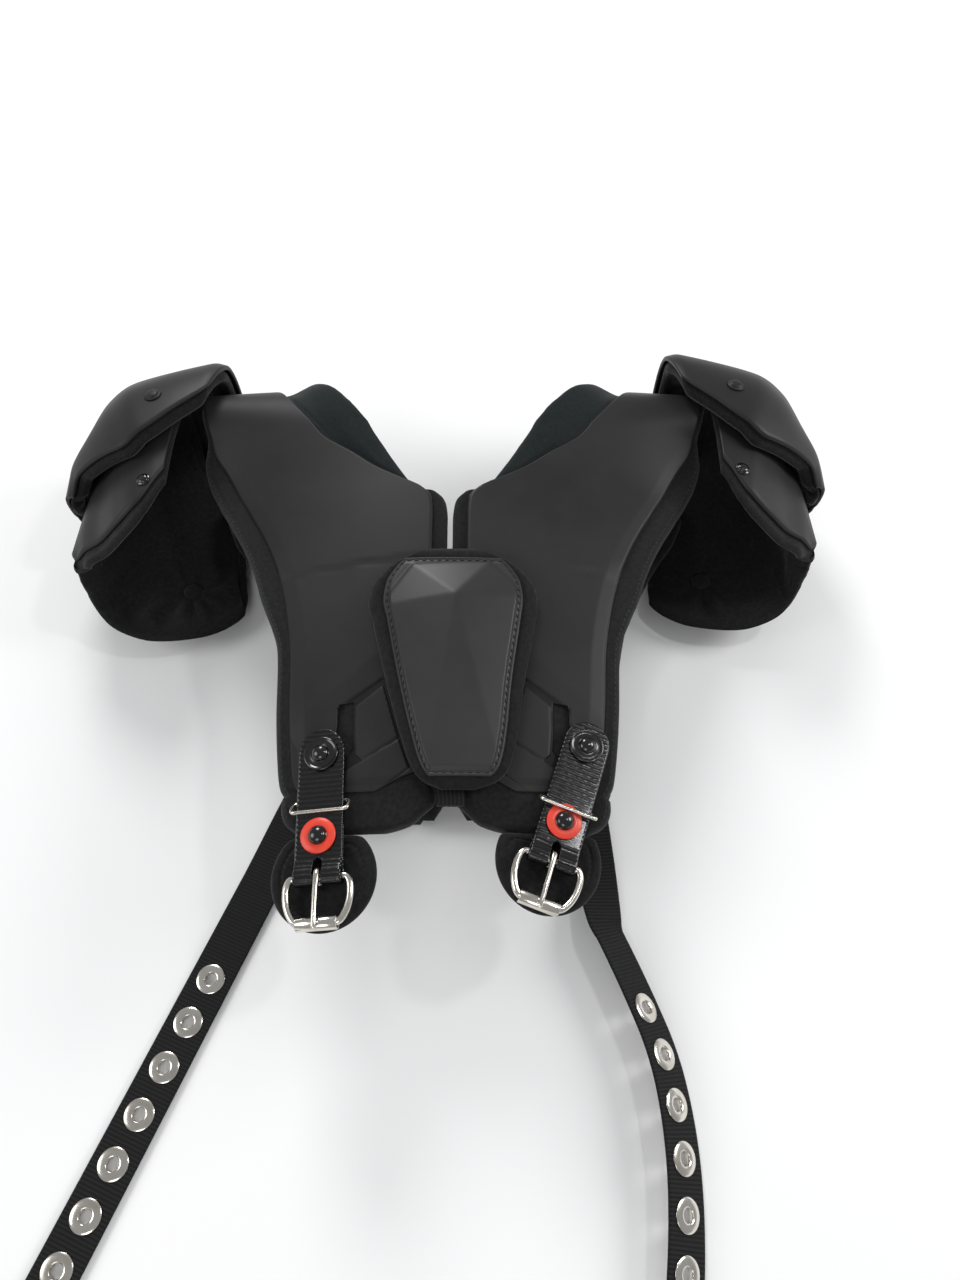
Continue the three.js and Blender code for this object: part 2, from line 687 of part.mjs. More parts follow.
// Plate over the backs of both shells, flat where it rests
function makeBridge() {
  const shares = table(['up', 'half'], [[0, 0.82], [0.08, 1], [0.35, 1], [0.65, 1], [0.92, 1], [1, 0.82]]);
  const columns = 6;
  const spot = (i, j) => {
    const y = THREE.MathUtils.lerp(-bridgeBelow, bridgeAbove, shares[i].up);
    const x = THREE.MathUtils.lerp(-1, 1, j / columns) * shares[i].half * bridgeHalf;
    return torsoPoint(backQ(y), x, seatGap);
  };
  const floor = (i, j) => spot(i, j).setZ(0);
  addPiece(model, 'back_bridge', slabGeometry(shares.length - 1, columns, floor, spot), 'shell');
}

// Each buckle strap lies on its shell, turned about the shell's normal at its rivet
const strapPlaces = {
  left: { across: strapAcross, down: strapDown, keeper: keeperAt, span: keeperSpan, rides: 0 },
  right: {
    across: strapAcross + strapShiftOut,
    down: strapDown - strapShiftUp,
    keeper: keeperAt + keeperShift,
    span: keeperSpan - keeperRaise,
    rides: washerThick + seatGap,
  },
};

function strapFrame({ name, sign }) {
  const { across, down } = strapPlaces[name];
  const turn = THREE.MathUtils.degToRad(strapTurns[name]);
  const q = -down / frontLength;
  const step = 1;
  const here = torsoPoint(q, sign * across, 0);
  const beside = torsoPoint(q, sign * across + step, 0).sub(here).normalize();
  const above = torsoPoint(q + step / frontLength, sign * across, 0).sub(here).normalize();
  const normal = beside.clone().cross(above).normalize();
  above.copy(normal).cross(beside).normalize();
  const frame = new THREE.Group();
  frame.matrix.makeBasis(beside, above, normal).setPosition(here);
  frame.matrix.multiply(new THREE.Matrix4().makeRotationZ(turn));
  frame.matrix.decompose(frame.position, frame.quaternion, frame.scale);
  model.add(frame);
  return frame;
}

const strapLift = softGap; // strap's lower face above the shell
const strapFace = strapLift + strapThick; // its upper face
const eyeInner = frameWire + runGap;
const eyeOuter = eyeInner + strapThick;

// The strap from above: rounded end over the rivet, straight to the eye
function strapOuter() {
  const half = strapWidth / 2;
  const outline = new THREE.Shape();
  outline.moveTo(-half, -strapTail + eyeInner);
  outline.lineTo(half, -strapTail + eyeInner);
  outline.absarc(0, strapHead - half, half, 0, Math.PI, false);
  return new THREE.ExtrudeGeometry(outline, { depth: strapThick, bevelEnabled: false, curveSegments: 8 })
    .translate(0, 0, strapLift);
}

// The fold round the buckle's bar, seen from the side, carried across the strap's width
function strapFold() {
  const side = new THREE.Shape();
  const start = -foldStart;
  side.moveTo(start, strapLift - strapThick);
  side.lineTo(-strapTail + eyeOuter, strapLift - strapThick);
  for (const angle of [-45, -80, -115, -150, -180, -210, -250, -290]) {
    const turn = THREE.MathUtils.degToRad(angle);
    side.lineTo(-strapTail + eyeOuter * Math.cos(turn), strapLift + eyeOuter * Math.sin(turn));
  }
  side.lineTo(-strapTail + eyeOuter + 2, strapFace);
  side.lineTo(start, strapFace);
  side.closePath();
  const eye = new THREE.Path();
  eye.absarc(-strapTail, strapLift, eyeInner, 0, 2 * Math.PI, false);
  side.holes.push(eye);
  const options = { depth: strapWidth, bevelEnabled: false, curveSegments: 6 };
  const fold = new THREE.ExtrudeGeometry(side, options);
  return fold.rotateX(Math.PI / 2).rotateZ(Math.PI / 2).translate(-strapWidth / 2, 0, 0);
}

function makeStrap(frame, name) {
  const length = slotAbove + 2 * eyeOuter;
  const slot = new THREE.BoxGeometry(prongSlot, length, 4 * eyeOuter);
  slot.translate(0, -strapTail + slotAbove - length / 2, strapLift);
  addPiece(frame, `buckle_strap_${name}`, carve([strapOuter(), strapFold()], [slot]), 'vinyl');
}

// A lathe profile of [radius, height] pairs, its axis turned to Z
function turned(profile, segments) {
  const points = profile.map(([radius, height]) => new THREE.Vector2(radius, height));
  return new THREE.LatheGeometry(points, segments).rotateX(Math.PI / 2);
}

function makeSnaps(frame, name) {
  const dome = (radius, low) => [
    [radius, low],
    [0.9 * radius, low + 0.45 * domeHeight],
    [0.55 * radius, low + 0.85 * domeHeight],
    [0, low + domeHeight],
  ];
  const rivet = turned([[0, 0], [washerRadius, 0], [washerRadius, washerThick],
    ...dome(domeRadius, washerThick)], 10);
  addPiece(frame, `strap_rivet_${name}`, rivet.translate(0, 0, strapFace + seatGap), 'blackSnap');

  const ring = turned([[postRadius + runGap, 0], [washerRadius, 0], [washerRadius, washerThick],
    [postRadius + runGap, washerThick], [postRadius + runGap, 0]], 14);
  addPiece(frame, `snap_washer_${name}`, ring.translate(0, -snapAt, strapFace + seatGap), 'redWasher');

  const shoulder = washerThick + seatGap;
  const stud = turned([[0, 0], [postRadius, 0], [postRadius, shoulder], ...dome(domeRadius, shoulder)], 8);
  addPiece(frame, `snap_stud_${name}`, stud.translate(0, -snapAt, strapFace + seatGap), 'blackSnap');
}

// Points of a rounded rectangle about the origin in XY, with its upper and lower corner radius
function roundedLoop(width, height, corners, steps) {
  const points = [];
  for (let quarter = 0; quarter < 4; quarter += 1) {
    const corner = corners[quarter < 2 ? 0 : 1];
    const x = (quarter === 0 || quarter === 3 ? 1 : -1) * (width / 2 - corner);
    const y = (quarter < 2 ? 1 : -1) * (height / 2 - corner);
    for (let k = 0; k <= steps; k += 1) {
      const turn = (Math.PI / 2) * (quarter + k / steps);
      points.push(new THREE.Vector3(x + corner * Math.cos(turn), y + corner * Math.sin(turn), 0));
    }
  }
  return points;
}

// Loop of wire round the strap, leaning so that its upper side lies further down the strap
function makeKeeper(frame, name) {
  const { keeper, span, rides } = strapPlaces[name];
  const rise = strapThick + rides + 2 * (seatGap + keeperWire);
  const length = Math.hypot(rise, span);
  const corner = 2.2 * keeperWire;
  const loop = roundedLoop(keeperWidth - 2 * keeperWire, length, [corner, corner], 2);
  const wire = wireGeometry(loop, keeperWire, 6, true);
  wire.rotateX(-Math.atan2(rise, span)).translate(0, -keeper, strapLift + (strapThick + rides) / 2);
  addPiece(frame, `strap_keeper_${name}`, wire, 'nickel');
}

const rollerY = -strapTail - frameHeight + 2 * frameWire;

function makeBuckle(frame, name) {
  const loop = roundedLoop(frameWidth - 2 * frameWire, frameHeight - 2 * frameWire, frameCorners, 3);
  const wire = wireGeometry(loop, frameWire, 6, true);
  wire.translate(0, (rollerY - strapTail) / 2, strapLift);
  addPiece(frame, `buckle_frame_${name}`, wire, 'nickel');

  // the prong wraps round the bar, leaves it on top and lies over the roller
  const wrap = frameWire + runGap + prongWire;
  const route = [-160, -120, -80, -40, 0, 45, 90].map((angle) => {
    const turn = THREE.MathUtils.degToRad(angle);
    return new THREE.Vector3(0, -strapTail + wrap * Math.cos(turn), strapLift + wrap * Math.sin(turn));
  });
  const overRoller = strapLift + rollerRadius + seatGap + prongWire;
  route.push(new THREE.Vector3(0, rollerY, overRoller));
  route.push(new THREE.Vector3(0, rollerY - rollerRadius, overRoller - seatGap));
  addPiece(frame, `buckle_prong_${name}`, wireGeometry(route, prongWire, 6, false), 'nickel');

  const bore = frameWire + runGap;
  const profile = [[bore, 0], [rollerRadius, 0], [rollerRadius, rollerLength], [bore, rollerLength]];
  profile.push(profile[0]);
  const roller = turned(profile, 12).translate(0, 0, -rollerLength / 2).rotateY(Math.PI / 2);
  addPiece(frame, `buckle_roller_${name}`, roller.translate(0, rollerY, strapLift), 'nickel');
}

// Round padded flap behind the buckle, its upper edge along the liner's hem
function makeFlap(frame, name) {
  const top = strapLift - frameWire - runGap - 2 * prongWire - seatGap;
  frame.updateMatrixWorld(true);
  const matrix = frame.matrixWorld.elements;
  const hemY = archLine - frontLength - linerHem - layerGap - flapBevel;
  const underHem = (x) => (hemY - matrix[13] - matrix[1] * x - matrix[9] * top) / matrix[5];
  const outline = new THREE.Shape();
  const radius = flapRadius - flapBevel;
  outline.moveTo(-flapNeck * radius, underHem(-flapNeck * radius));
  outline.absarc(0, -flapDrop, radius, Math.PI, 2 * Math.PI, false);
  outline.lineTo(flapNeck * radius, underHem(flapNeck * radius));
  outline.closePath();
  const depth = flapThick - 2 * flapBevel;
  const bevel = { bevelEnabled: true, bevelSize: flapBevel, bevelThickness: flapBevel, bevelSegments: 1 };
  const flap = new THREE.ExtrudeGeometry(outline, { depth, curveSegments: 7, ...bevel });
  addPiece(frame, `belt_flap_${name}`, flap.translate(0, 0, top - flapThick + flapBevel), 'fabric');
}

// Belts: heading away from straight down and roll about their length, in degrees, by the share along
const beltTurns = {
  left: table(['along', 'heading', 'roll'], [[0, 22, 0], [1, 22, 0]]),
  right: table(['along', 'heading', 'roll'], [
    [0, 4, 0],
    [0.2, 5, 0],
    [0.31, 6, 30],
    [0.34, 24, 42],
    [0.5, 20, 42],
    [0.6, 8, 40],
    [0.76, -4, 36],
    [0.86, -9, 34],
    [1, -11, 34],
  ]),
};
const beltStarts = {
  left: { across: beltInset, down: beltStart },
  right: { across: beltInset + beltShiftOut, down: beltStart + beltShiftDown },
};

// Frame of the belt at a distance along it
function beltAt({ name, sign }, distance) {
  const turns = beltTurns[name];
  const { across, down } = beltStarts[name];
  const start = new THREE.Vector2(across, archLine - down);
  const steps = 40;
  const place = start.clone();
  let heading = 0;
  for (let k = 0; k < steps; k += 1) {
    const along = ((k + 0.5) / steps) * distance;
    heading = THREE.MathUtils.degToRad(lookUp(turns, 'along', 'heading', along / beltLength));
    place.x += (Math.sin(heading) * distance) / steps;
    place.y -= (Math.cos(heading) * distance) / steps;
  }
  heading = THREE.MathUtils.degToRad(lookUp(turns, 'along', 'heading', distance / beltLength));
  const roll = THREE.MathUtils.degToRad(lookUp(turns, 'along', 'roll', distance / beltLength));
  const flat = new THREE.Vector3(Math.cos(heading), Math.sin(heading), 0);
  const alongBelt = new THREE.Vector3(Math.sin(heading), -Math.cos(heading), 0);
  const acrossBelt = flat.multiplyScalar(Math.cos(roll)).setZ(-Math.sin(roll));
  const under = torsoPoint(backQ(start.y), start.x - beltWidth / 2, seatGap).z - beltThick / 2;
  const floor = flangeThick + flangeGap + seatGap + beltThick / 2 + (beltWidth / 2) * Math.sin(roll);
  const lowered = THREE.MathUtils.smoothstep(distance / beltLength, ...beltDrop);
  const point = new THREE.Vector3(place.x, place.y, THREE.MathUtils.lerp(under, floor, lowered));
  for (const vector of [point, alongBelt, acrossBelt]) vector.x *= sign;
  const normal = acrossBelt.clone().cross(alongBelt).multiplyScalar(-sign).normalize();
  return { point, alongBelt, acrossBelt, normal };
}

function makeBelt(side) {
  const stations = 13;
  const face = (lift) => (i, j) => {
    const { point, acrossBelt, normal } = beltAt(side, (i / stations) * beltLength);
    return point.addScaledVector(acrossBelt, (j - 0.5) * beltWidth).addScaledVector(normal, lift);
  };
  const half = beltThick / 2;
  const holes = [];
  const rim = half + flangeGap;
  const section = [[grommetHole, rim + flangeThick], [grommetHole, -rim - flangeThick],
    [grommetRadius, -rim - 0.6 * flangeThick], [grommetRadius, -rim], [grommetBarrel, -rim],
    [grommetBarrel, rim], [grommetRadius, rim], [grommetRadius, rim + 0.6 * flangeThick]];
  section.push(section[0]);
  for (let k = 0; k < grommetCount; k += 1) {
    const { point, alongBelt, normal } = beltAt(side, grommetFirst + k * grommetPitch);
    const beside = alongBelt.clone().cross(normal).normalize();
    const place = new THREE.Matrix4().makeBasis(beside, alongBelt, normal).setPosition(point);
    if (place.determinant() < 0) place.makeBasis(beside.negate(), alongBelt, normal).setPosition(point);
    const bore = grommetBarrel + runGap;
    const drill = new THREE.CylinderGeometry(bore, bore, 4 * beltThick, 8);
    holes.push(drill.rotateX(Math.PI / 2).applyMatrix4(place));
    const grommet = turned(section, 7).applyMatrix4(place);
    addPiece(model, `grommet_${side.name}_${k + 1}`, grommet, 'nickel');
  }
  const belt = slabGeometry(stations, 1, face(half), face(-half));
  addPiece(model, `belt_webbing_${side.name}`, carve([belt], holes), 'webbing');
}

for (const side of sides) {
  makeArch(side);
  makeNeckPad(side);
  makeCap(side);
  const frame = strapFrame(side);
  makeStrap(frame, side.name);
  makeSnaps(frame, side.name);
  makeKeeper(frame, side.name);
  makeBuckle(frame, side.name);
  makeFlap(frame, side.name);
  makeBelt(side);
}
makeChest();
makeLink();
makeBridge();

export default model;
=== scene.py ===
import math
import bmesh
import bpy
import numpy as np
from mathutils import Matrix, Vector, kdtree


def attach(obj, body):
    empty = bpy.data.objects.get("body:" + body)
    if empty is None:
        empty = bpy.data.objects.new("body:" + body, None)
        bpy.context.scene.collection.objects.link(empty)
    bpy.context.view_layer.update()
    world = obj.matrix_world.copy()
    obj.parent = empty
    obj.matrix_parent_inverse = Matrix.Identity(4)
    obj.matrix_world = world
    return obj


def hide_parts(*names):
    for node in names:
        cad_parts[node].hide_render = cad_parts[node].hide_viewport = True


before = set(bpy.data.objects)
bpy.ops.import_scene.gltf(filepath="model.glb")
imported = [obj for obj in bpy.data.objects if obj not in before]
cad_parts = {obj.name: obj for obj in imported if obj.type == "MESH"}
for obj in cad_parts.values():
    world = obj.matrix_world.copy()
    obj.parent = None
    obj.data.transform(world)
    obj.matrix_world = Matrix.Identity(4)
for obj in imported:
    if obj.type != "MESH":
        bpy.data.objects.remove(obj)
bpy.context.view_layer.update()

# Football shoulder pad on its back. All lengths below are in mm, and meshes are made in metres.
mm = 0.001
sides = {"left": -1, "right": 1}


def addObject(name, data):
    obj = bpy.data.objects.new(name, data)
    bpy.context.collection.objects.link(obj)
    return obj


# Camera, light and floor

camera = {"place": (0.0185, -0.330, 0.569), "tiltDeg": 30.8, "lens": 26.0, "sensor": 36.0}


def addCamera():
    data = bpy.data.cameras.new("camera")
    data.lens = camera["lens"]
    data.sensor_width = camera["sensor"]
    obj = addObject("camera", data)
    obj.location = camera["place"]
    obj.rotation_euler = (math.radians(camera["tiltDeg"]), 0, 0)
    bpy.context.scene.camera = obj


studio = {
    "world": (0.97, 0.98, 1.0), "worldPower": 0.38, "floorSize": 6.0, "floorHeight": -0.0004,
    "floorColour": (0.9, 0.9, 0.9), "floorRoughness": 0.8,
    # name, place in m, aim in m, size in m, power in W
    "lamps": [
        ("backSoft", (-0.4, 1.35, 1.15), (0.0, 0.0, 0.05), 0.6, 15.0),
        ("leftSoft", (-1.4, -0.25, 0.95), (0.0, 0.0, 0.05), 0.9, 8.0),
        ("rightSoft", (1.3, 0.25, 0.8), (0.0, 0.0, 0.05), 0.6, 10.0),
        ("frontSoft", (-0.3, -1.6, 1.2), (0.0, -0.1, 0.05), 0.9, 7.0),
        ("strapGlint", (0.87, 0.14, 1.5), (0.08, -0.13, 0.1), 0.14, 3.0),
    ],
}


def addStudio():
    bpy.context.scene.view_settings.view_transform = "Standard"
    world = bpy.data.worlds.new("world")
    bpy.context.scene.world = world
    world.use_nodes = True
    sky = world.node_tree.nodes["Background"]
    sky.inputs["Color"].default_value = (*studio["world"], 1)
    sky.inputs["Strength"].default_value = studio["worldPower"]
    for name, place, aim, size, power in studio["lamps"]:
        lamp = bpy.data.lights.new(name, "AREA")
        lamp.shape = "DISK"
        lamp.size = size
        lamp.energy = power
        obj = addObject(name, lamp)
        obj.location = place
        obj.rotation_euler = (Vector(aim) - Vector(place)).to_track_quat("-Z", "Y").to_euler()
    bpy.ops.mesh.primitive_plane_add(size=studio["floorSize"], location=(0, 0, studio["floorHeight"]))
    floor = bpy.context.object
    floor.name = "floor"
    look = bpy.data.materials.new("paleFloor")
    look.use_nodes = True
    shader = look.node_tree.nodes["Principled BSDF"]
    shader.inputs["Base Color"].default_value = (*studio["floorColour"], 1)
    shader.inputs["Roughness"].default_value = studio["floorRoughness"]
    floor.data.materials.append(look)


addCamera()
addStudio()
print("camera and studio")


# Curves and grids

def smooth(a, b, x):
    t = np.clip((x - a) / (b - a), 0, 1)
    return t * t * (3 - 2 * t)


def mix(a, b, t):
    return a + (b - a) * t


def through(keys, values, at):  # smooth curve through a table's rows that never swings past them
    keys, values, at = (np.asarray(v, float) for v in (keys, values, at))
    h = np.diff(keys)
    slope = np.diff(values) / h
    turn = np.zeros(len(keys))
    turn[0], turn[-1] = slope[0], slope[-1]
    before, after = slope[:-1], slope[1:]
    same = before * after > 1e-12
    w1, w2 = 2 * h[1:] + h[:-1], h[1:] + 2 * h[:-1]
    turn[1:-1][same] = ((w1 + w2)[same] / (w1[same] / before[same] + w2[same] / after[same]))
    k = np.clip(np.searchsorted(keys, at) - 1, 0, len(keys) - 2)
    t = np.clip((at - keys[k]) / h[k], 0, 1)
    return ((1 + 2 * t) * (1 - t) ** 2 * values[k] + t * (1 - t) ** 2 * h[k] * turn[k]
            + t * t * (3 - 2 * t) * values[k + 1] + t * t * (t - 1) * h[k] * turn[k + 1])


def edgesAt(table, at, size):  # both edges by a table of share, edge and edge
    return [through(table[:, 0], table[:, k], at) * size for k in (1, 2)]


def rimSteps(count, crowd=0.75):  # 0 to 1, closer together at both ends
    t = np.linspace(0, 1, count)
    return mix(t, 0.5 - 0.5 * np.cos(np.pi * t), crowd)


def unit(v):
    return v / np.maximum(np.linalg.norm(v, axis=-1, keepdims=True), 1e-9)


def roundRim(fromEdge, radius):  # 0 at the rim to 1 inside, as a quarter circle
    return np.sqrt(np.clip(1 - (1 - np.clip(fromEdge / radius, 0, 1)) ** 2, 0, 1))


def bell(distance, width):  # 1 on a line, falling to 0 beside it
    return np.exp(-(distance / width) ** 2)


def runAlong(path):  # length from the path's start to each of its points
    return np.concatenate([[0], np.cumsum(np.linalg.norm(np.diff(path, axis=0), axis=1))])


def endDistance(points):  # along the middle column of a grid to its nearer end
    run = runAlong(points[:, points.shape[1] // 2])
    return np.minimum(run, run[-1] - run)


def edgeDistance(share, width, points):  # to the nearest edge of a grid whose rows are as long as width
    return np.minimum(np.minimum(share, 1 - share) * width, endDistance(points)[:, None])


def stripUv(across, along):  # in metres, so that ribs have a real pitch
    return np.stack(np.broadcast_arrays(across * mm, along * mm), -1)


def gridQuads(rows, columns, start=0, wrapRows=False, wrapColumns=False):
    i = np.arange(rows if wrapRows else rows - 1)
    j = np.arange(columns if wrapColumns else columns - 1)
    i, j = np.meshgrid(i, j, indexing="ij")
    i2, j2 = (i + 1) % rows, (j + 1) % columns
    quads = np.stack([i * columns + j, i * columns + j2, i2 * columns + j2, i2 * columns + j], -1)
    return start + quads.reshape(-1, 4)


def noise(points, size, seed):  # soft seeded waves in space, about -1 to 1
    rng = np.random.default_rng(seed)
    total = np.zeros(points.shape[:-1])
    for _ in range(9):
        heading = rng.normal(size=3)
        heading *= rng.uniform(0.6, 1.5) * 2 * np.pi / (size * np.linalg.norm(heading))
        total += np.sin(points @ heading + rng.uniform(0, 6.28))
    return total / 4.5


def tubeFaces(rows, around, closed):  # rings joined to a tube, with a cap on each end unless it is closed
    faces = gridQuads(rows, around, 0, closed, True).tolist()
    if closed:
        return faces
    last = (rows - 1) * around
    return faces + [list(range(around)), list(range(last, last + around))]


def prismFaces(count, start=0):  # a loop of points, the same loop further on, and the walls between
    walls = [[start + k, start + (k + 1) % count, start + count + (k + 1) % count, start + count + k]
             for k in range(count)]
    return [list(range(start, start + count)), list(range(start + count, start + 2 * count))] + walls


def meshFrom(name, points, faces):
    mesh = bpy.data.meshes.new(name)
    mesh.from_pydata((np.asarray(points, float).reshape(-1, 3) * mm).tolist(), [], [list(f) for f in faces])
    return mesh


def vectorsOf(mesh, kind="co"):
    values = np.zeros(3 * len(mesh.vertices))
    mesh.vertices.foreach_get(kind, values)
    return values.reshape(-1, 3)


def addPiece(name, points, faces, look, body="harness", nodes=(), uv=None, bevel=None):
    mesh = meshFrom(name, points, faces)
    if uv is not None:
        layer = mesh.uv_layers.new(name="UVMap")
        loops = np.zeros(len(mesh.loops), int)
        mesh.loops.foreach_get("vertex_index", loops)
        layer.data.foreach_set("uv", np.asarray(uv, float).reshape(-1, 2)[loops].ravel())
    obj = addObject(name, mesh)
    outward(obj)
    mesh.polygons.foreach_set("use_smooth", [True] * len(mesh.polygons))
    mesh.materials.append(looks[look])
    if bevel:
        edge = obj.modifiers.new("edges", "BEVEL")
        edge.width = bevel * mm
        edge.segments = 2
        edge.limit_method = "ANGLE"
        edge.angle_limit = math.radians(48)
        edge.harden_normals = True
    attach(obj, body)
    if nodes:
        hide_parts(*nodes)
    return obj


def outward(obj):  # faces point out of the closed mesh
    shape = bmesh.new()
    shape.from_mesh(obj.data)
    bmesh.ops.remove_doubles(shape, verts=shape.verts, dist=1e-7)
    bmesh.ops.recalc_face_normals(shape, faces=shape.faces)
    shape.to_mesh(obj.data)
    shape.free()


def slab(name, outer, inner, look, wrapRows=False, uv=None, **more):  # two grids joined round their border
    rows, columns = outer.shape[:2]
    count = rows * columns
    index = np.arange(count).reshape(rows, columns)
    faces = [gridQuads(rows, columns, 0, wrapRows), gridQuads(rows, columns, count, wrapRows)[:, ::-1]]
    rim = index[:, -1] if wrapRows else np.concatenate(
        [index[0, :-1], index[:-1, -1], index[-1, :0:-1], index[:0:-1, 0]])
    after = np.roll(rim, -1)
    faces.append(np.stack([rim, after, after + count, rim + count], -1))
    faces = np.concatenate(faces).tolist()
    if wrapRows:
        faces += [index[:, 0].tolist(), (index[:, 0] + count).tolist()]
    points = np.concatenate([outer.reshape(-1, 3), inner.reshape(-1, 3)])
    if uv is not None:
        uv = np.concatenate([uv.reshape(-1, 2)] * 2)
    return addPiece(name, points, faces, look, uv=uv, **more)


def sweepGrid(path, radius, around, closed, plane, squash=1.0):  # rings of points round a path in one plane
    ahead = np.roll(path, -1, 0) - np.roll(path, 1, 0)
    if not closed:
        ahead[0], ahead[-1] = path[1] - path[0], path[-1] - path[-2]
    beside = unit(np.cross(unit(ahead), plane))
    turn = np.linspace(0, 2 * np.pi, around, endpoint=False)
    radius = np.broadcast_to(radius, (len(path),))[:, None, None]
    ring = beside[:, None] * np.cos(turn)[None, :, None] + plane * squash * np.sin(turn)[None, :, None]
    return path[:, None] + radius * ring


def sweep(name, path, radius, around, closed, plane, look, squash=1.0, **more):
    grid = sweepGrid(path, radius, around, closed, plane, squash)
    return addPiece(name, grid, tubeFaces(len(path), around, closed), look, **more)


def lathe(name, profile, around, place, look, **more):  # radius and height pairs turned about the place's Z
    profile = np.asarray(profile, float)
    turn = np.linspace(0, 2 * np.pi, around, endpoint=False)
    ring = np.stack([np.cos(turn), np.sin(turn)], -1)
    grid = np.concatenate([profile[:, None, :1] * ring, np.repeat(profile[:, 1:], around, 1)[..., None]], -1)
    closed = bool(np.allclose(profile[0], profile[-1]))
    if closed:
        grid = grid[:-1]
    faces = gridQuads(len(grid), around, 0, closed, True)
    return addPiece(name, place(grid), faces, look, **more)


def roundedPath(points, steps=8):  # closed smooth loop through points
    p = np.asarray(points, float)
    t = np.linspace(0, 1, steps, endpoint=False)[:, None]
    out = []
    for k in range(len(p)):
        a, b, c, d = p[k - 1], p[k], p[(k + 1) % len(p)], p[(k + 2) % len(p)]
        out.append(0.5 * (2 * b + (c - a) * t + (2 * a - 5 * b + 4 * c - d) * t ** 2
                          + (3 * b - a - 3 * c + d) * t ** 3))
    return np.concatenate(out)


def openPath(points, steps=8):  # smooth path through points with free ends
    p = np.asarray(points, float)
    span = runAlong(p)
    at = np.interp(np.linspace(0, len(p) - 1, steps * (len(p) - 1) + 1), np.arange(len(p)), span)
    return np.stack([through(span, p[:, k], at) for k in range(3)], -1)


def stitches(name, path, up, look, body="harness", pitch=3.4, length=2.3, width=0.55):
    # short threads along a path, each a slim six-sided bar that dips at both ends
    run = runAlong(path)
    count = int(run[-1] / pitch)
    middle = (np.arange(count) + 0.5) * run[-1] / count
    offsets = np.array([-0.5, -0.3, 0.3, 0.5]) * length
    high = np.array([-0.6, 0.0, 0.0, -0.6]) * width
    fat = np.array([0.35, 1.0, 1.0, 0.35]) * width * 0.5
    at = middle[:, None] + offsets
    spot = np.stack([np.interp(at, run, path[:, k]) for k in range(3)], -1)
    lift = unit(np.stack([np.interp(at, run, up[:, k]) for k in range(3)], -1))
    ahead = unit(spot[:, -1] - spot[:, 0])[:, None]
    beside = unit(np.cross(np.broadcast_to(ahead, lift.shape), lift))
    turn = np.linspace(0, 2 * np.pi, 6, endpoint=False)
    ring = beside[:, :, None] * np.cos(turn)[:, None] + lift[:, :, None] * np.sin(turn)[:, None]
    grid = (spot + lift * high[None, :, None])[:, :, None] + fat[None, :, None, None] * ring
    faces = [[24 * k + v for v in f] for k in range(count) for f in tubeFaces(4, 6, False)]
    return addPiece(name, grid, faces, look, body=body)


# Stuffing: cloth under pressure shapes a coarse copy, and the fine pad takes its movement

stuffing = {"voxel": 5.0, "pressure": 4.0, "frames": 20, "shrink": 0.5, "neighbours": 5}


def treeOf(points):
    tree = kdtree.KDTree(len(points))
    for k, point in enumerate(points):
        tree.insert(point, k)
    tree.balance()
    return tree


def swell(obj, limit):  # where a coarse copy's points are, and how far the pressure moves them
    coarse = addObject("stuffing", obj.data.copy())
    bpy.context.view_layer.objects.active = coarse
    remesh = coarse.modifiers.new("voxels", "REMESH")
    remesh.mode = "VOXEL"
    remesh.voxel_size = stuffing["voxel"] * mm
    bpy.ops.object.modifier_apply(modifier=remesh.name)
    first = vectorsOf(coarse.data)
    small = first - vectorsOf(coarse.data, "normal") * stuffing["shrink"] * mm
    coarse.data.vertices.foreach_set("co", small.ravel())
    cloth = coarse.modifiers.new("cloth", "CLOTH")
    cloth.settings.use_pressure = True
    cloth.settings.uniform_pressure_force = stuffing["pressure"]
    cloth.settings.effector_weights.gravity = 0
    cloth.point_cache.frame_start = 1
    cloth.point_cache.frame_end = stuffing["frames"]
    for step in range(1, stuffing["frames"] + 1):
        bpy.context.scene.frame_set(step)
    swollen = coarse.evaluated_get(bpy.context.evaluated_depsgraph_get())
    move = vectorsOf(swollen.data) - first
    far = np.linalg.norm(move, axis=1, keepdims=True)
    bpy.context.scene.frame_set(1)
    bpy.data.objects.remove(coarse)
    return first, move * np.minimum(1, limit * mm / np.maximum(far, 1e-9))


def puff(obj, limit, grids, free):  # moves each point by at most limit, times the free share of its grid point
    first, move = swell(obj, limit)
    spots = vectorsOf(obj.data)
    coarseTree = treeOf(first)
    gridTree = treeOf(np.concatenate([g.reshape(-1, 3) for g in grids]) * mm)
    free = np.concatenate([np.ravel(f) for f in free])
    for k, spot in enumerate(spots.copy()):
        near = coarseTree.find_n(spot, stuffing["neighbours"])
        weight = np.array([1 / (item[2] + 0.001) for item in near])
        share = free[gridTree.find(spot)[1]]
        spots[k] += share * (weight @ move[[item[1] for item in near]]) / weight.sum()
    obj.data.vertices.foreach_set("co", spots.ravel())
    obj.data.update()


# Materials

looks = {}


def addNodes(tree, *kinds):
    return [tree.nodes.new(kind) for kind in kinds]


def newGroup(name, inputs, outputs, *kinds):  # a node group with a vector and named values in, and its nodes
    group = bpy.data.node_groups.new(name, "ShaderNodeTree")
    group.interface.new_socket(name="Vector", in_out="INPUT", socket_type="NodeSocketVector")
    for key, value in inputs.items():
        entry = group.interface.new_socket(name=key, in_out="INPUT", socket_type="NodeSocketFloat")
        entry.default_value = value
    for key in outputs:
        group.interface.new_socket(name=key, in_out="OUTPUT", socket_type="NodeSocketFloat")
    return group, group.links.new, addNodes(group, "NodeGroupInput", "NodeGroupOutput", *kinds)


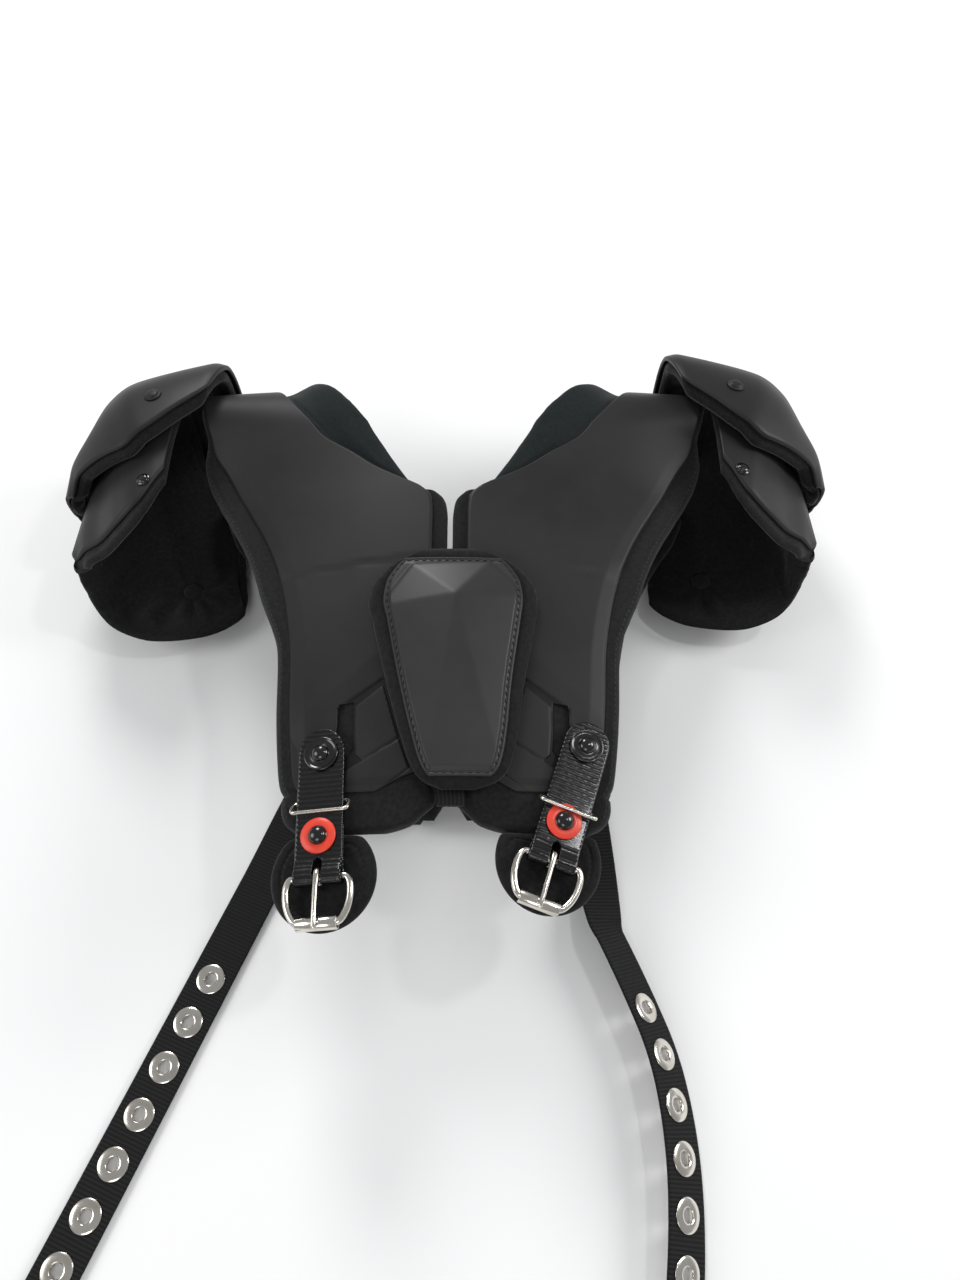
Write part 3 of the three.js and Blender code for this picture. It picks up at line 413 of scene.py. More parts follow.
def weaveGroup():  # crossed threads: height of the cloth and a speckle that follows it
    group, link, (start, end, warp, weft, crossed, fuzz) = newGroup(
        "clothWeave", {"Threads per metre": 900.0}, ["Height", "Speckle"],
        "ShaderNodeTexWave", "ShaderNodeTexWave", "ShaderNodeMath", "ShaderNodeTexNoise")
    warp.bands_direction, weft.bands_direction = "X", "Y"
    crossed.operation = "MULTIPLY"
    for k, wave in enumerate((warp, weft)):
        link(start.outputs["Vector"], wave.inputs["Vector"])
        link(start.outputs["Threads per metre"], wave.inputs["Scale"])
        wave.inputs["Distortion"].default_value = 1.2
        link(wave.outputs["Fac"], crossed.inputs[k])
    link(start.outputs["Vector"], fuzz.inputs["Vector"])
    fuzz.inputs["Scale"].default_value = 420
    fuzz.inputs["Detail"].default_value = 6
    link(crossed.outputs[0], end.inputs["Height"])
    link(fuzz.outputs["Fac"], end.inputs["Speckle"])
    return group


def grainGroup():  # moulded grain and slow smudges
    group, link, (start, end, grain, smudge) = newGroup(
        "mouldedGrain", {"Grain scale": 1400.0, "Smudge scale": 14.0}, ["Height", "Smudge"],
        "ShaderNodeTexNoise", "ShaderNodeTexNoise")
    for texture, scale, output in ((grain, "Grain scale", "Height"), (smudge, "Smudge scale", "Smudge")):
        link(start.outputs["Vector"], texture.inputs["Vector"])
        link(start.outputs[scale], texture.inputs["Scale"])
        link(texture.outputs["Fac"], end.inputs[output])
    grain.inputs["Detail"].default_value = 2
    smudge.inputs["Detail"].default_value = 5
    smudge.inputs["Roughness"].default_value = 0.6
    return group


def ribGroup():  # ribs across a strap, by its own UV in metres
    group, link, (start, end, wave) = newGroup(
        "strapRibs", {"Ribs per metre": 500.0, "Wobble": 0.0}, ["Height"], "ShaderNodeTexWave")
    wave.bands_direction = "Y"
    for source, target in (("Vector", "Vector"), ("Ribs per metre", "Scale"), ("Wobble", "Distortion")):
        link(start.outputs[source], wave.inputs[target])
    link(wave.outputs["Fac"], end.inputs["Height"])
    return group


groups = {"weave": weaveGroup(), "grain": grainGroup(), "ribs": ribGroup()}


def newLook(name, roughness, metallic=0.0, coat=0.0, coatRoughness=0.1, sheen=0.0, specular=0.5, colour=None):
    look = bpy.data.materials.new(name)
    look.use_nodes = True
    shader = look.node_tree.nodes["Principled BSDF"]
    for key, value in {"Roughness": roughness, "Metallic": metallic, "Coat Weight": coat,
                       "Coat Roughness": coatRoughness, "Sheen Weight": sheen, "Sheen Roughness": 0.4,
                       "Specular IOR Level": specular}.items():
        shader.inputs[key].default_value = value
    if colour:
        shader.inputs["Base Color"].default_value = (*colour, 1)
    looks[name] = look
    return look.node_tree, shader


def effect(tree, kind, values, coordinate="Object"):  # places a group in a material with its own values
    where, node = addNodes(tree, "ShaderNodeTexCoord", "ShaderNodeGroup")
    node.node_tree = groups[kind]
    tree.links.new(where.outputs[coordinate], node.inputs["Vector"])
    for key, value in values.items():
        node.inputs[key].default_value = value
    return node


def ramp(tree, source, target, stops):  # a value to colours or greys between stops
    node = tree.nodes.new("ShaderNodeValToRGB")
    tree.links.new(source, node.inputs["Fac"])
    for k, (place, colour) in enumerate(stops):
        stop = node.color_ramp.elements[k] if k < 2 else node.color_ramp.elements.new(place)
        stop.position = place
        stop.color = (*colour, 1) if isinstance(colour, tuple) else (colour, colour, colour, 1)
    tree.links.new(node.outputs["Color"], target)


def bump(tree, shader, height, strength, depth, before=None):
    node = tree.nodes.new("ShaderNodeBump")
    node.inputs["Strength"].default_value = strength
    node.inputs["Distance"].default_value = depth
    tree.links.new(height, node.inputs["Height"])
    if before:
        tree.links.new(before.outputs["Normal"], node.inputs["Normal"])
    tree.links.new(node.outputs["Normal"], shader.inputs["Normal"])
    return node


def clothLook(name, dark, light, threads, strength, depth, roughness, sheen):
    tree, shader = newLook(name, roughness, sheen=sheen, specular=0.15)
    weave = effect(tree, "weave", {"Threads per metre": threads})
    ramp(tree, weave.outputs["Speckle"], shader.inputs["Base Color"], [(0.3, dark), (0.7, light)])
    bump(tree, shader, weave.outputs["Height"], strength, depth)


def mouldedLook(name, specular):  # grained plastic, with painted shade in the pocket's grooves read from its own attribute
    tree, shader = newLook(name, 0.5, specular=specular)
    grain = effect(tree, "grain", {"Grain scale": 1500.0, "Smudge scale": 11.0})
    tone, paintedShade = addNodes(tree, "ShaderNodeMix", "ShaderNodeAttribute")
    tone.data_type = "RGBA"
    paintedShade.attribute_name = "paintedShade"
    ramp(tree, grain.outputs["Smudge"], tone.inputs[6],
         [(0.3, (0.014, 0.014, 0.0136)), (0.7, (0.021, 0.021, 0.0203))])
    # painted shade: the dark colour mixed in where the attribute marks the pocket's grooves
    tone.inputs[7].default_value = (0.003, 0.003, 0.0032, 1)
    tree.links.new(paintedShade.outputs["Fac"], tone.inputs[0])
    tree.links.new(tone.outputs[2], shader.inputs["Base Color"])
    ramp(tree, grain.outputs["Smudge"], shader.inputs["Roughness"], [(0.3, 0.4), (0.7, 0.54)])
    bump(tree, shader, grain.outputs["Height"], 0.12, 0.0003)


def makeLooks():
    mouldedLook("shell", 0.21)
    mouldedLook("plate", 0.43)
    clothLook("fabric", (0.008, 0.008, 0.0083), (0.016, 0.016, 0.0165), 700.0, 0.5, 0.0003, 0.9, 0.12)
    clothLook("neck", (0.005, 0.0085, 0.009), (0.009, 0.0135, 0.014), 1300.0, 0.2, 0.0002, 0.68, 0.05)
    newLook("thread", 0.55, colour=(0.012, 0.012, 0.013))
    newLook("snap", 0.16, coat=0.3, colour=(0.004, 0.004, 0.0045))

    tree, shader = newLook("webbing", 0.72, sheen=0.05, specular=0.25)
    ribs = effect(tree, "ribs", {"Ribs per metre": 150.0, "Wobble": 0.4}, "UV")
    # painted shade: colour darker in the furrows between ribs and lighter on their crests
    ramp(tree, ribs.outputs["Height"], shader.inputs["Base Color"],
         [(0.1, (0.002, 0.002, 0.0022)), (0.8, (0.009, 0.009, 0.0092))])
    first = bump(tree, shader, ribs.outputs["Height"], 0.8, 0.0005)
    weave = effect(tree, "weave", {"Threads per metre": 420.0}, "UV")
    bump(tree, shader, weave.outputs["Height"], 0.35, 0.0002, first)

    tree, shader = newLook("vinyl", 0.16, coat=0.2, coatRoughness=0.08, specular=0.4,
                           colour=(0.003, 0.003, 0.0033))
    ribs = effect(tree, "ribs", {"Ribs per metre": 118.0, "Wobble": 0.8}, "UV")
    ramp(tree, ribs.outputs["Height"], shader.inputs["Roughness"], [(0.2, 0.3), (0.8, 0.12)])
    first = bump(tree, shader, ribs.outputs["Height"], 0.42, 0.0004)
    grain = effect(tree, "grain", {"Grain scale": 300.0, "Smudge scale": 60.0}, "UV")
    bump(tree, shader, grain.outputs["Height"], 0.35, 0.0005, first)

    tree, shader = newLook("washer", 0.42, coat=0.1)
    grain = effect(tree, "grain", {"Grain scale": 900.0, "Smudge scale": 90.0})
    ramp(tree, grain.outputs["Smudge"], shader.inputs["Base Color"],
         [(0.3, (0.68, 0.040, 0.018)), (0.7, (0.78, 0.055, 0.024))])
    bump(tree, shader, grain.outputs["Height"], 0.1, 0.0002)

    tree, shader = newLook("nickel", 0.2, metallic=1.0)
    grain = effect(tree, "grain", {"Grain scale": 500.0, "Smudge scale": 70.0})
    ramp(tree, grain.outputs["Smudge"], shader.inputs["Base Color"],
         [(0.25, (0.50, 0.46, 0.40)), (0.6, (0.74, 0.71, 0.65))])
    ramp(tree, grain.outputs["Smudge"], shader.inputs["Roughness"], [(0.3, 0.28), (0.65, 0.14)])
    bump(tree, shader, grain.outputs["Height"], 0.06, 0.0002)


makeLooks()
print("materials")


# Arches: front leg for q -1 to 0, half ellipse to 1, back leg to 2

arch = {
    "halfSpan": 176.0, "reach": 62.0, "half": 61.0, "mid": 65.0, "line": 104.5,
    "frontLength": 251.5, "backLength": 235.0, "slope": 0.0676,
    "frontBow": 0.00127, "archBow": 0.0002, "backBow": 0.0007,
    "thick": 2.4, "linerThick": 11.0, "linerGap": 0.85, "lap": 9.0, "crownLap": 2.0, "armLap": 7.0, "seam": 1.2,
    "hem": 21.0,
    "neckTuck": 9.0, "neckStart": -0.21, "neckEnd": 1.16, "neckReach": 38.0, "neckFlare": 9.0, "neckThick": 12.0,
}
# share along the leg, inner and outer edge as shares of the half span
frontEdges = np.array([
    (1.0, .215, .445), (.975, .148, .468), (.955, .085, .476), (.92, .06, .485), (.8, .06, .507),
    (.66, .06, .523), (.55, .06, .55), (.45, .06, .588), (.37, .06, .634), (.3, .06, .685), (.25, .067, .727),
    (.215, .11, .755), (.19, .175, .777), (.15, .27, .808), (.1, .36, .85), (.04, .475, .905)])
crownEdges = np.array([
    (.05, .56, .935), (.18, .65, .967), (.34, .72, .99), (.5, .735, 1.0), (.66, .72, .99), (.82, .65, .967),
    (.95, .56, .935)])
backEdges = np.array([
    (.04, .45, .91), (.1, .32, .87), (.15, .18, .84), (.2, .07, .79), (.3, .06, .71), (.45, .06, .62),
    (.7, .06, .56), (.94, .07, .52), (1.0, .11, .47)])
archEdges = np.concatenate([frontEdges * (-1, 1, 1), crownEdges, backEdges + (1, 0, 0)])
# share of the liner's hem below the shell, its inner and outer edge there
hemEdges = np.array([(0, .03, .51), (.2, .03, .51), (.54, .068, .5), (.78, .1, .475), (1.0, .19, .42)])
# share along the neck pad, how far it stands past the shell, how much it flares up
neckForm = np.array([
    (0, 0, 0), (.042, .4, .1), (.1, .78, .3), (.153, 1, .5), (.226, 1, .8), (.3, .88, 1), (.4, .72, 1),
    (.52, .68, 1), (.7, .75, .6), (.84, .8, .3), (.93, .4, 0), (1, 0, 0)])
linerTop = arch["thick"] + arch["linerGap"]


def frontQ(y):
    return (y - arch["line"]) / arch["frontLength"]


def backQ(y):
    return 1 + (arch["line"] - y) / arch["backLength"]


def torso(q, x, lift):  # shell's outer face: a straight leg or ellipse in YZ, bowed by the square of x
    q, x, lift = np.broadcast_arrays(np.asarray(q, float), x, lift)
    turn = np.pi * (0.5 - np.clip(q, 0, 1))
    front = np.maximum(-q, 0) * arch["frontLength"]
    back = np.maximum(q - 1, 0) * arch["backLength"]
    y = arch["line"] + arch["reach"] * np.cos(turn) - front - back
    z = arch["mid"] + arch["half"] * np.sin(turn) - front * arch["slope"]
    normal = unit(np.stack([np.cos(turn) / arch["reach"], np.sin(turn) / arch["half"]], -1))
    bow = mix(mix(arch["frontBow"], arch["archBow"], smooth(-0.2, 0.2, q)), arch["backBow"], smooth(0.8, 1.2, q))
    out = lift - bow * x * x
    return np.stack([x, y + normal[..., 0] * out, z + normal[..., 1] * out], -1)


def torsoNormal(q, x):
    step = 0.002
    along = torso(q + step, x, 0) - torso(q - step, x, 0)
    across = torso(q, x + 0.5, 0) - torso(q, x - 0.5, 0)
    return unit(np.cross(across, along))


def sheets(q, x, lifts, sign):  # the torso's surface at two heights, on one side
    return [torso(q, x, lift) * (sign, 1, 1) for lift in lifts]


def shellEdges(q):
    return edgesAt(archEdges, q, arch["halfSpan"])


def linerEdges(q):  # laps over the shell's edges, tucked in behind the neck pad, and runs on below the front hem
    inner, outer = shellEdges(np.clip(q, -1, 2))
    down = np.clip(-1 - q, 0, 1) * arch["frontLength"] / arch["hem"]
    below = down > 0
    hemIn, hemOut = edgesAt(hemEdges, down, arch["halfSpan"])
    lap = mix(arch["lap"], arch["crownLap"], smooth(-0.1, 0.05, q) - smooth(0.95, 1.1, q))
    lap = lap + arch["armLap"] * smooth(-0.64, -0.46, q) * smooth(0.0, -0.14, q)
    start, end = arch["neckStart"], arch["neckEnd"]
    atNeck = smooth(start - 0.012, start - 0.004, q) - smooth(end + 0.004, end + 0.012, q)
    inner = mix(np.maximum(inner - arch["lap"], arch["seam"]), inner + arch["neckTuck"], atNeck)
    inner = np.where(below, hemIn, mix(hemEdges[0, 1] * arch["halfSpan"], inner, smooth(-1.0, -0.93, q)))
    outer = np.where(below, hemOut, outer + lap)
    return inner, outer


def polygonDepth(x, y, corners):  # how far inside a convex polygon, in mm; negative outside
    corners = np.asarray(corners, float)
    after = np.roll(corners, -1, 0)
    way = np.sign((corners[:, 0] * after[:, 1] - after[:, 0] * corners[:, 1]).sum())
    edges = unit(after - corners)
    return np.min([way * (e[0] * (y - a[1]) - e[1] * (x - a[0])) for a, e in zip(corners, edges)], axis=0)


shellRelief = {
    "bevel": 9.0, "bevelDrop": 1.7, "creaseDepth": 0.7, "creaseAt": -3.5, "creaseFrom": 30.0, "creaseSlope": 0.09,
    # the last key on the next line is the strength of the painted shade that darkens the pocket's grooves
    "step": 0.35, "rim": 1.6, "rimDrop": 0.9, "wall": 0.9, "ridgeSlope": 0.09, "ridgeDrop": 1.1, "paintedShade": 0.8,
    "pocket": [(61, -98.5), (35, -80), (22, -120), (17.5, -134), (36.5, -147.5), (54, -147.5), (61, -140)],
    "upperTile": [(50.5, -97.5), (36, -85.5), (26.5, -117), (45.5, -129), (49.3, -126)],
    "lowerTile": [(54.6, -135.4), (26, -118.3), (20, -134.5), (37, -146.4), (54.3, -146.6)],
    "rightShift": 7.5,
    "pocketDepth": 2.1,
    "ridge": [(78, -100), (40, -66)],
    "slot": [(60.2, -96.5), (52, -95), (50.8, -123.5), (56, -130.5), (60.6, -127.5)],
}


# lift of the front shell by |x| and y: bevelled rim, crease, ridge and pocket with tiles, and the pocket's grooves
def reliefAt(x, y, fromEdge):
    r = shellRelief
    low = smooth(4, -10, y)
    lift = -r["bevelDrop"] * np.clip(1 - fromEdge / r["bevel"], 0, 1) * mix(0.35, 1, low)
    above = y - r["creaseAt"] + r["creaseSlope"] * np.maximum(x - r["creaseFrom"], 0)
    lift = lift - r["creaseDepth"] * bell(above, 0.8) - r["step"] * smooth(0, -1.5, above)
    (ax, ay), (bx, by) = r["ridge"]
    under = ((bx - ax) * (y - ay) - (by - ay) * (x - ax)) / math.hypot(bx - ax, by - ay)
    lift = lift - np.clip(under * r["ridgeSlope"], 0, r["ridgeDrop"]) * smooth(-60, -72, y)
    pocket = np.clip(polygonDepth(x, y, r["pocket"]) / r["wall"], 0, 1)
    tiles = np.maximum(polygonDepth(x, y, r["upperTile"]), polygonDepth(x, y, r["lowerTile"]))
    groove = pocket * (1 - np.clip(tiles / r["wall"] + 1, 0, 1))
    return lift - r["pocketDepth"] * groove, groove


def cut(obj, cutter):  # takes a closed cutter out of a piece and removes the cutter
    tool = obj.modifiers.new("cut", "BOOLEAN")
    tool.object = cutter
    tool.solver = "MANIFOLD"
    bpy.context.view_layer.objects.active = obj
    bpy.ops.object.modifier_apply(modifier=tool.name)
    bpy.data.objects.remove(cutter)


def cutterFrom(points, faces):
    obj = addObject("cutter", meshFrom("cutter", points, faces))
    outward(obj)
    return obj


def prism(corners, low, high):  # points of an upright prism over corners in XY
    return np.array([(*c, z) for z in (low, high) for c in corners], float)


def makeShell(name, sign):
    # finer rows where the relief is
    q = np.concatenate([np.linspace(-1, -0.64, 126, endpoint=False), np.linspace(-0.64, 0, 66, endpoint=False),
                        np.linspace(0, 1, 50, endpoint=False), np.linspace(1, 2, 44)])[:, None]
    inner, outer = shellEdges(q)
    width = outer - inner
    share = rimSteps(80, 0.25)[None]
    x = mix(inner, outer, share)
    flat = torso(q, x, 0)
    fromEdge = edgeDistance(share, width, flat)
    shift = shellRelief["rightShift"] if sign > 0 else 0
    fromArm = np.minimum((1 - share) * width, endDistance(flat)[:, None])
    lift = reliefAt(x - shift, flat[..., 1], fromArm)[0] * smooth(0.02, -0.02, q)
    lift = lift - shellRelief["rimDrop"] * (1 - roundRim(fromEdge, shellRelief["rim"]))
    shell = slab(f"archShell_{name}", *sheets(q, x, (lift, -arch["thick"]), sign), "shell",
                 nodes=[f"arch_shell_{name}"])
    slot = [(sign * (a + shift), b) for a, b in shellRelief["slot"]]
    cut(shell, cutterFrom(prism(slot, 60, 140), prismFaces(len(slot))))
    # painted shade: the pocket's grooves on the top face get an attribute that darkens the shell's colour
    x, y, z = vectorsOf(shell.data).T / mm
    groove = reliefAt(x * sign - shift, y, 20)[1] * (z > 80)
    paintedShade = shell.data.attributes.new("paintedShade", "FLOAT", "POINT")
    paintedShade.data.foreach_set("value", shellRelief["paintedShade"] * groove)


liner = {"rim": 6.5, "seamAt": 6.0, "seamWidth": 1.1, "seamDepth": 1.0, "quilt": 46.0, "quiltWidth": 3.0,
         "quiltDepth": 1.6, "threadAt": 3.2}


def makeLiner(name, sign):
    q = np.concatenate([-1 - rimSteps(16, 0.4)[::-1] * arch["hem"] / arch["frontLength"],
                        np.linspace(-1, 0, 150)[1:-1],
                        np.linspace(0, 1, 64, endpoint=False), np.linspace(1, 2, 90)])
    fine = np.concatenate([np.linspace(-0.018, 0.002, 8) + arch["neckStart"],
                           np.linspace(-0.002, 0.018, 8) + arch["neckEnd"]])
    q = np.unique(np.concatenate([q, fine]))[:, None]
    inner, outer = linerEdges(q)
    share = rimSteps(46, 0.8)[None]
    x = mix(inner, outer, share)
    flat = torso(q, x, 0)
    fromEdge = edgeDistance(share, outer - inner, flat)
    full = roundRim(fromEdge, liner["rim"])
    seam = bell(fromEdge - liner["seamAt"], liner["seamWidth"]) * liner["seamDepth"]
    # diamonds between two sets of slanted lines
    slants = [np.abs(((flat[..., 1] + slope * x) / liner["quilt"]) % 1 - 0.5) for slope in (0.5, -0.5)]
    quilt = bell(np.minimum(*slants) * liner["quilt"], liner["quiltWidth"])
    quilt = quilt * liner["quiltDepth"] * smooth(8, 16, fromEdge)
    wave = noise(flat * (sign, 1, 1), 30, 5) * 0.35 * smooth(0, 6, fromEdge)
    deep = linerTop + arch["linerThick"]
    middle = linerTop + 0.5 * arch["linerThick"]
    top = mix(-middle, -linerTop, full) - 0.5 * seam * (full > 0.2)
    under = mix(-middle, -deep, full) + seam * 0.7 + quilt + wave * 0.5 - 0.3
    piece = slab(f"archLiner_{name}", *sheets(q, x, (top, under), sign), "fabric", nodes=[f"arch_liner_{name}"])
    rows = np.linspace(-1.05, -0.02, 240)
    edge = linerEdges(rows)[1] - liner["threadAt"]
    path = torso(rows, edge, mix(-middle, -linerTop, roundRim(liner["threadAt"], liner["rim"])) + 0.15)
    up = torsoNormal(rows, edge)
    stitches(f"linerStitches_{name}", path * (sign, 1, 1), up * (sign, 1, 1), "thread", pitch=3.6)


def evened(values, spread):  # running average that keeps both ends
    padded = np.pad(values, 3 * spread, mode="reflect", reflect_type="odd")
    weight = np.exp(-0.5 * (np.arange(-3 * spread, 3 * spread + 1) / spread) ** 2)
    return np.convolve(padded, weight / weight.sum(), mode="valid")


neck = {"overlap": 0.8, "rim": 6.5, "seamAt": 3.5, "seamWidth": 0.9, "seamDepth": 0.7, "wave": 0.25,
        "waveSize": 42.0, "stuffed": 2.5}


def makeNeckPad(name, sign):
    a = arch
    q = np.linspace(a["neckStart"], a["neckEnd"], 150)[:, None]
    along = (q - a["neckStart"]) / (a["neckEnd"] - a["neckStart"])
    inner, _ = shellEdges(q)
    reach = through(neckForm[:, 0], neckForm[:, 1], along) * a["neckReach"]
    flare = through(neckForm[:, 0], neckForm[:, 2], along) * a["neckFlare"]
    share = rimSteps(40, 0.8)[None]
    free = evened((inner - reach)[:, 0], 7)[:, None]
    x = mix(inner + a["neckTuck"] - neck["overlap"], free, share)
    flat = torso(q, x, 0)
    width = inner + a["neckTuck"] - free
    full = roundRim(edgeDistance(share, width, flat), neck["rim"])
    rise = smooth(0.3, 1, share)
    soft = neck["wave"] * noise(flat * (sign, 1, 1), neck["waveSize"], 8) * rise
    middle = linerTop + 0.55 * a["neckThick"]
    seam = bell(share * width - a["neckTuck"] - neck["seamAt"], neck["seamWidth"])
    top = mix(-middle, -linerTop, full) + flare * rise + soft * full - neck["seamDepth"] * seam * full
    under = mix(-middle, -linerTop - a["neckThick"], full) + flare * rise
    grids = sheets(q, x, (top, under), sign)
    piece = slab(f"neckPad_{name}", *grids, "neck", nodes=[f"neck_pad_{name}"])
    puff(piece, neck["stuffed"], grids, [np.broadcast_to(smooth(0.3, 0.6, share), full.shape)] * 2)


for sideName, sideSign in sides.items():
    makeShell(sideName, sideSign)
    makeLiner(sideName, sideSign)
    makeNeckPad(sideName, sideSign)
print("arches, liners and neck pads")


# Caps: sections from the neck outwards, as shares of reach, rise and half depth

cap = {
    "reach": 88.0, "rise": 82.0, "half": 63.5, "mid": 66.5, "slump": 4.5, "roundness": 2.3,
    "epauletThick": 3.0, "padThick": 9.0, "padGap": 0.85, "padLap": 3.6, "cupThick": 2.4, "liningThick": 6.0,
    "liningLap": 9.0, "stack": 16.05, "cornerCut": 0.09, "epauletFacet": 0.5, "cupFacet": 0.3, "facetAt": 0.52,
    "rim": 1.4, "rimDrop": 0.8, "fold": 1.3, "foldSize": 24.0, "seamDepth": 0.8,
    "padRound": 0.62, "padTuck": 0.42, "padSeam": 0.9,  # shares of a pad's thickness
}
# ridge out and up, front leg out, up and depth, back leg out, up and depth
epauletRows = np.array([
    (-.27, .933, -.284, .445, .937, -.284, .62, -.93), (-.148, .994, -.16, .287, .992, -.16, .5, -.97),
    (.16, .94, .011, .104, 1.0, .02, .25, -1.0), (.534, .823, .216, -.116, .984, .25, -.02, -1.0),
    (.727, .64, .386, -.238, .874, .45, -.15, -.96), (.84, .31, .636, -.226, .654, .67, -.2, -.84),
    (.954, -.018, .818, -.226, .402, .83, -.25, -.62), (.989, -.274, .886, -.31, .18, .91, -.31, -.26)])
cupRows = np.array([
    (.17, .92, 0, -.3, 1.02, -.14, -.7, -1.15), (.36, .88, .12, -.575, 1.03, -.2, -1.14, -1.22),
    (.6, .75, .26, -.86, .98, .02, -1.4, -1.15), (.77, .53, .45, -1.0, .77, .42, -1.44, -1.1),
    (.88, .2, .67, -1.07, .47, .77, -1.35, -.95), (.98, -.4, .85, -1.08, .28, .94, -1.22, -.74),
    (1.03, -1.0, .95, -1.09, .08, 1.0, -1.15, -.42)])
epauletSize = np.array([cap["reach"], cap["rise"], cap["half"]])
cupSize = epauletSize - cap["stack"]


def capPoint(rows, size, t, a):  # superellipse from the ridge to each leg, its ends running along t
    t, a = np.broadcast_arrays(np.asarray(t, float), a)
    at = [through(np.arange(len(rows)), rows[:, k], np.clip(t, 0, 1) * (len(rows) - 1)) for k in range(8)]
    front = a >= 0
    out, up, depth = (np.where(front, at[2 + k], at[5 + k]) for k in range(3))
    turn = np.abs(a) * np.pi / 2
    upper = np.maximum(np.cos(turn), 0) ** (2 / cap["roundness"])
    lower = np.maximum(np.sin(turn), 0) ** (2 / cap["roundness"])
    return np.stack([arch["halfSpan"] + mix(out, at[0], upper) * size[0],
                     arch["line"] + mix(up, at[1], upper) * size[1],
                     cap["mid"] + depth * size[2] * lower], -1)


def capNormal(rows, size, t, a):
    step = 0.02
    along = capPoint(rows, size, np.minimum(t + step, 1), a) - capPoint(rows, size, np.maximum(t - step, 0), a)
    ahead, behind = (capPoint(rows, size, t, np.clip(a + s, -0.999, 0.999)) for s in (step, -step))
    return unit(np.cross(ahead - behind, along))


def slumped(points, sign):  # both caps stand a little to the left, the left one lower and the right one higher
    points = points + (-sign * cap["slump"], 0, 0)
    return points * (sign, 1, 1) + (0, sign * cap["slump"], 0)


def nearerEnd(points, axis):  # distance along a grid's rows or columns to the nearer end of each
    steps = np.linalg.norm(np.diff(points, axis=axis), axis=2)
    run = np.insert(np.cumsum(steps, axis), 0, 0, axis)
    return np.minimum(run, run.take([-1], axis) - run)


def capGrid(rows, size, lap, rowCount, columnCount):  # points, normals, distance from the edge, shares
    t = rimSteps(rowCount, 0.35)[:, None]
    a = (rimSteps(columnCount, 0.45) * 2 - 1)[None]
    t = t + cap["cornerCut"] * smooth(0.45, 0, t) * np.clip((np.abs(a) - 0.5) / 0.5, 0, 1) ** 2.5
    points = capPoint(rows, size, t, a)
    normals = capNormal(rows, size, t, a)
    if lap:
        away = unit(points - capPoint(rows, size, t, a * 0.93))
        atSide = smooth(0.80, 1.0, np.abs(a))[..., None]
        points = points + away * atSide * lap
        away = unit(points - capPoint(rows, size, t - 0.035, a))
        points = points + away * (smooth(0.86, 1.0, t) * (1 - atSide[..., 0]))[..., None] * lap
    return points, normals, np.minimum(nearerEnd(points, 1), nearerEnd(points, 0)), t, a


def capSheet(name, rows, size, sign, thick, nodes, facet):
    points, normals, fromEdge, t, a = capGrid(rows, size, 0, 76, 100)
    lift = -cap["rimDrop"] * (1 - roundRim(fromEdge, cap["rim"]))
    lift = lift - facet * bell(np.abs(a) - cap["facetAt"], 0.10) * smooth(0.05, 0.4, t)
    return slab(name, slumped(points + normals * lift[..., None], sign),
                slumped(points - normals * thick, sign), "shell", nodes=nodes)


def capPad(name, rows, size, sign, depth, thick, lap, look, nodes, folds, spot=None):
    points, normals, fromEdge, t, a = capGrid(rows, size, lap, 90, 112)
    full = roundRim(fromEdge, cap["padRound"] * thick)
    fold = noise(points * (sign, 1, 1), cap["foldSize"], folds) * cap["fold"] * smooth(5, 16, fromEdge)
    gathered = 0
    if spot:
        corner = smooth(0.45, 0.0, t) * smooth(-0.3, -0.9, a)
        points = points + corner[..., None] * np.array(spot["corner"])
        away = points - capPoint(rows, size, spot["button"][0], spot["button"][1])
        far = np.linalg.norm(away, axis=-1)
        around = np.arctan2(away[..., 1], away[..., 0])
        star = np.sin(spot["rays"] * around + 1.3 * np.sin(2 * around + sign) + 0.05 * far)
        gathered = spot["rayDepth"] * star * bell(far - spot["rayReach"], spot["rayWidth"]) * smooth(3, 9, fromEdge)
        gathered = gathered - spot["dimple"] * bell(far, spot["dimpleWidth"])
    seam = bell(fromEdge - cap["padSeam"] * thick, 0.9) * cap["seamDepth"]
    outer = depth + (1 - full) * cap["padTuck"] * thick
    inner = depth + thick - (1 - full) * cap["padTuck"] * thick - seam + fold * 0.7 - 0.5 + gathered
    grids = [slumped(points - normals * d[..., None], sign) for d in (outer, inner)]
    piece = slab(name, *grids, look, nodes=nodes)
    if spot:
        puff(piece, spot["stuffed"], grids, [np.zeros(fromEdge.shape), smooth(2, 9, fromEdge)])


def onCap(rows, size, spot, sign, lift=0.0):  # places local points on a cap, Z along its normal
    normal = capNormal(rows, size, np.array(spot[0]), np.array(spot[1]))
    point = capPoint(rows, size, spot[0], spot[1]) + normal * lift
    origin = slumped(point, sign)
    normal = normal * (sign, 1, 1)
    basis = np.array(Vector(normal).to_track_quat("Z", "Y").to_matrix())
    return lambda grid: grid @ basis.T + origin


# a covered button on the lining as section share and turn, the lining's corner moved by mm, folds round the button
liningSpot = {"button": (0.31, -0.9), "corner": (-21.0, 11.0, -3.5), "dimple": 1.2, "dimpleWidth": 9.0,
              "rays": 9, "rayDepth": 1.9, "rayReach": 15.0, "rayWidth": 11.0, "stuffed": 2.0}
buttonProfile = [(0, 1), (5.6, 1), (6.3, -0.2), (5.9, -1.1), (4.6, -1.9), (2.6, -2.4), (0, -2.6)]
rivets = {"epaulet": (0.36, 0.84), "cup": (0.26, 0.96), "epauletRadius": 5.8, "cupRadius": 4.6, "height": 2.2}


def rivetHead(radius, height):  # flat rim, a step and a low dome
    shape = [(0, 0), (1, 0), (1, .25), (.93, .42), (.74, .42), (.7, .6), (.6, .85), (.42, .96), (0, 1)]
    return [(r * radius, z * height) for r, z in shape]


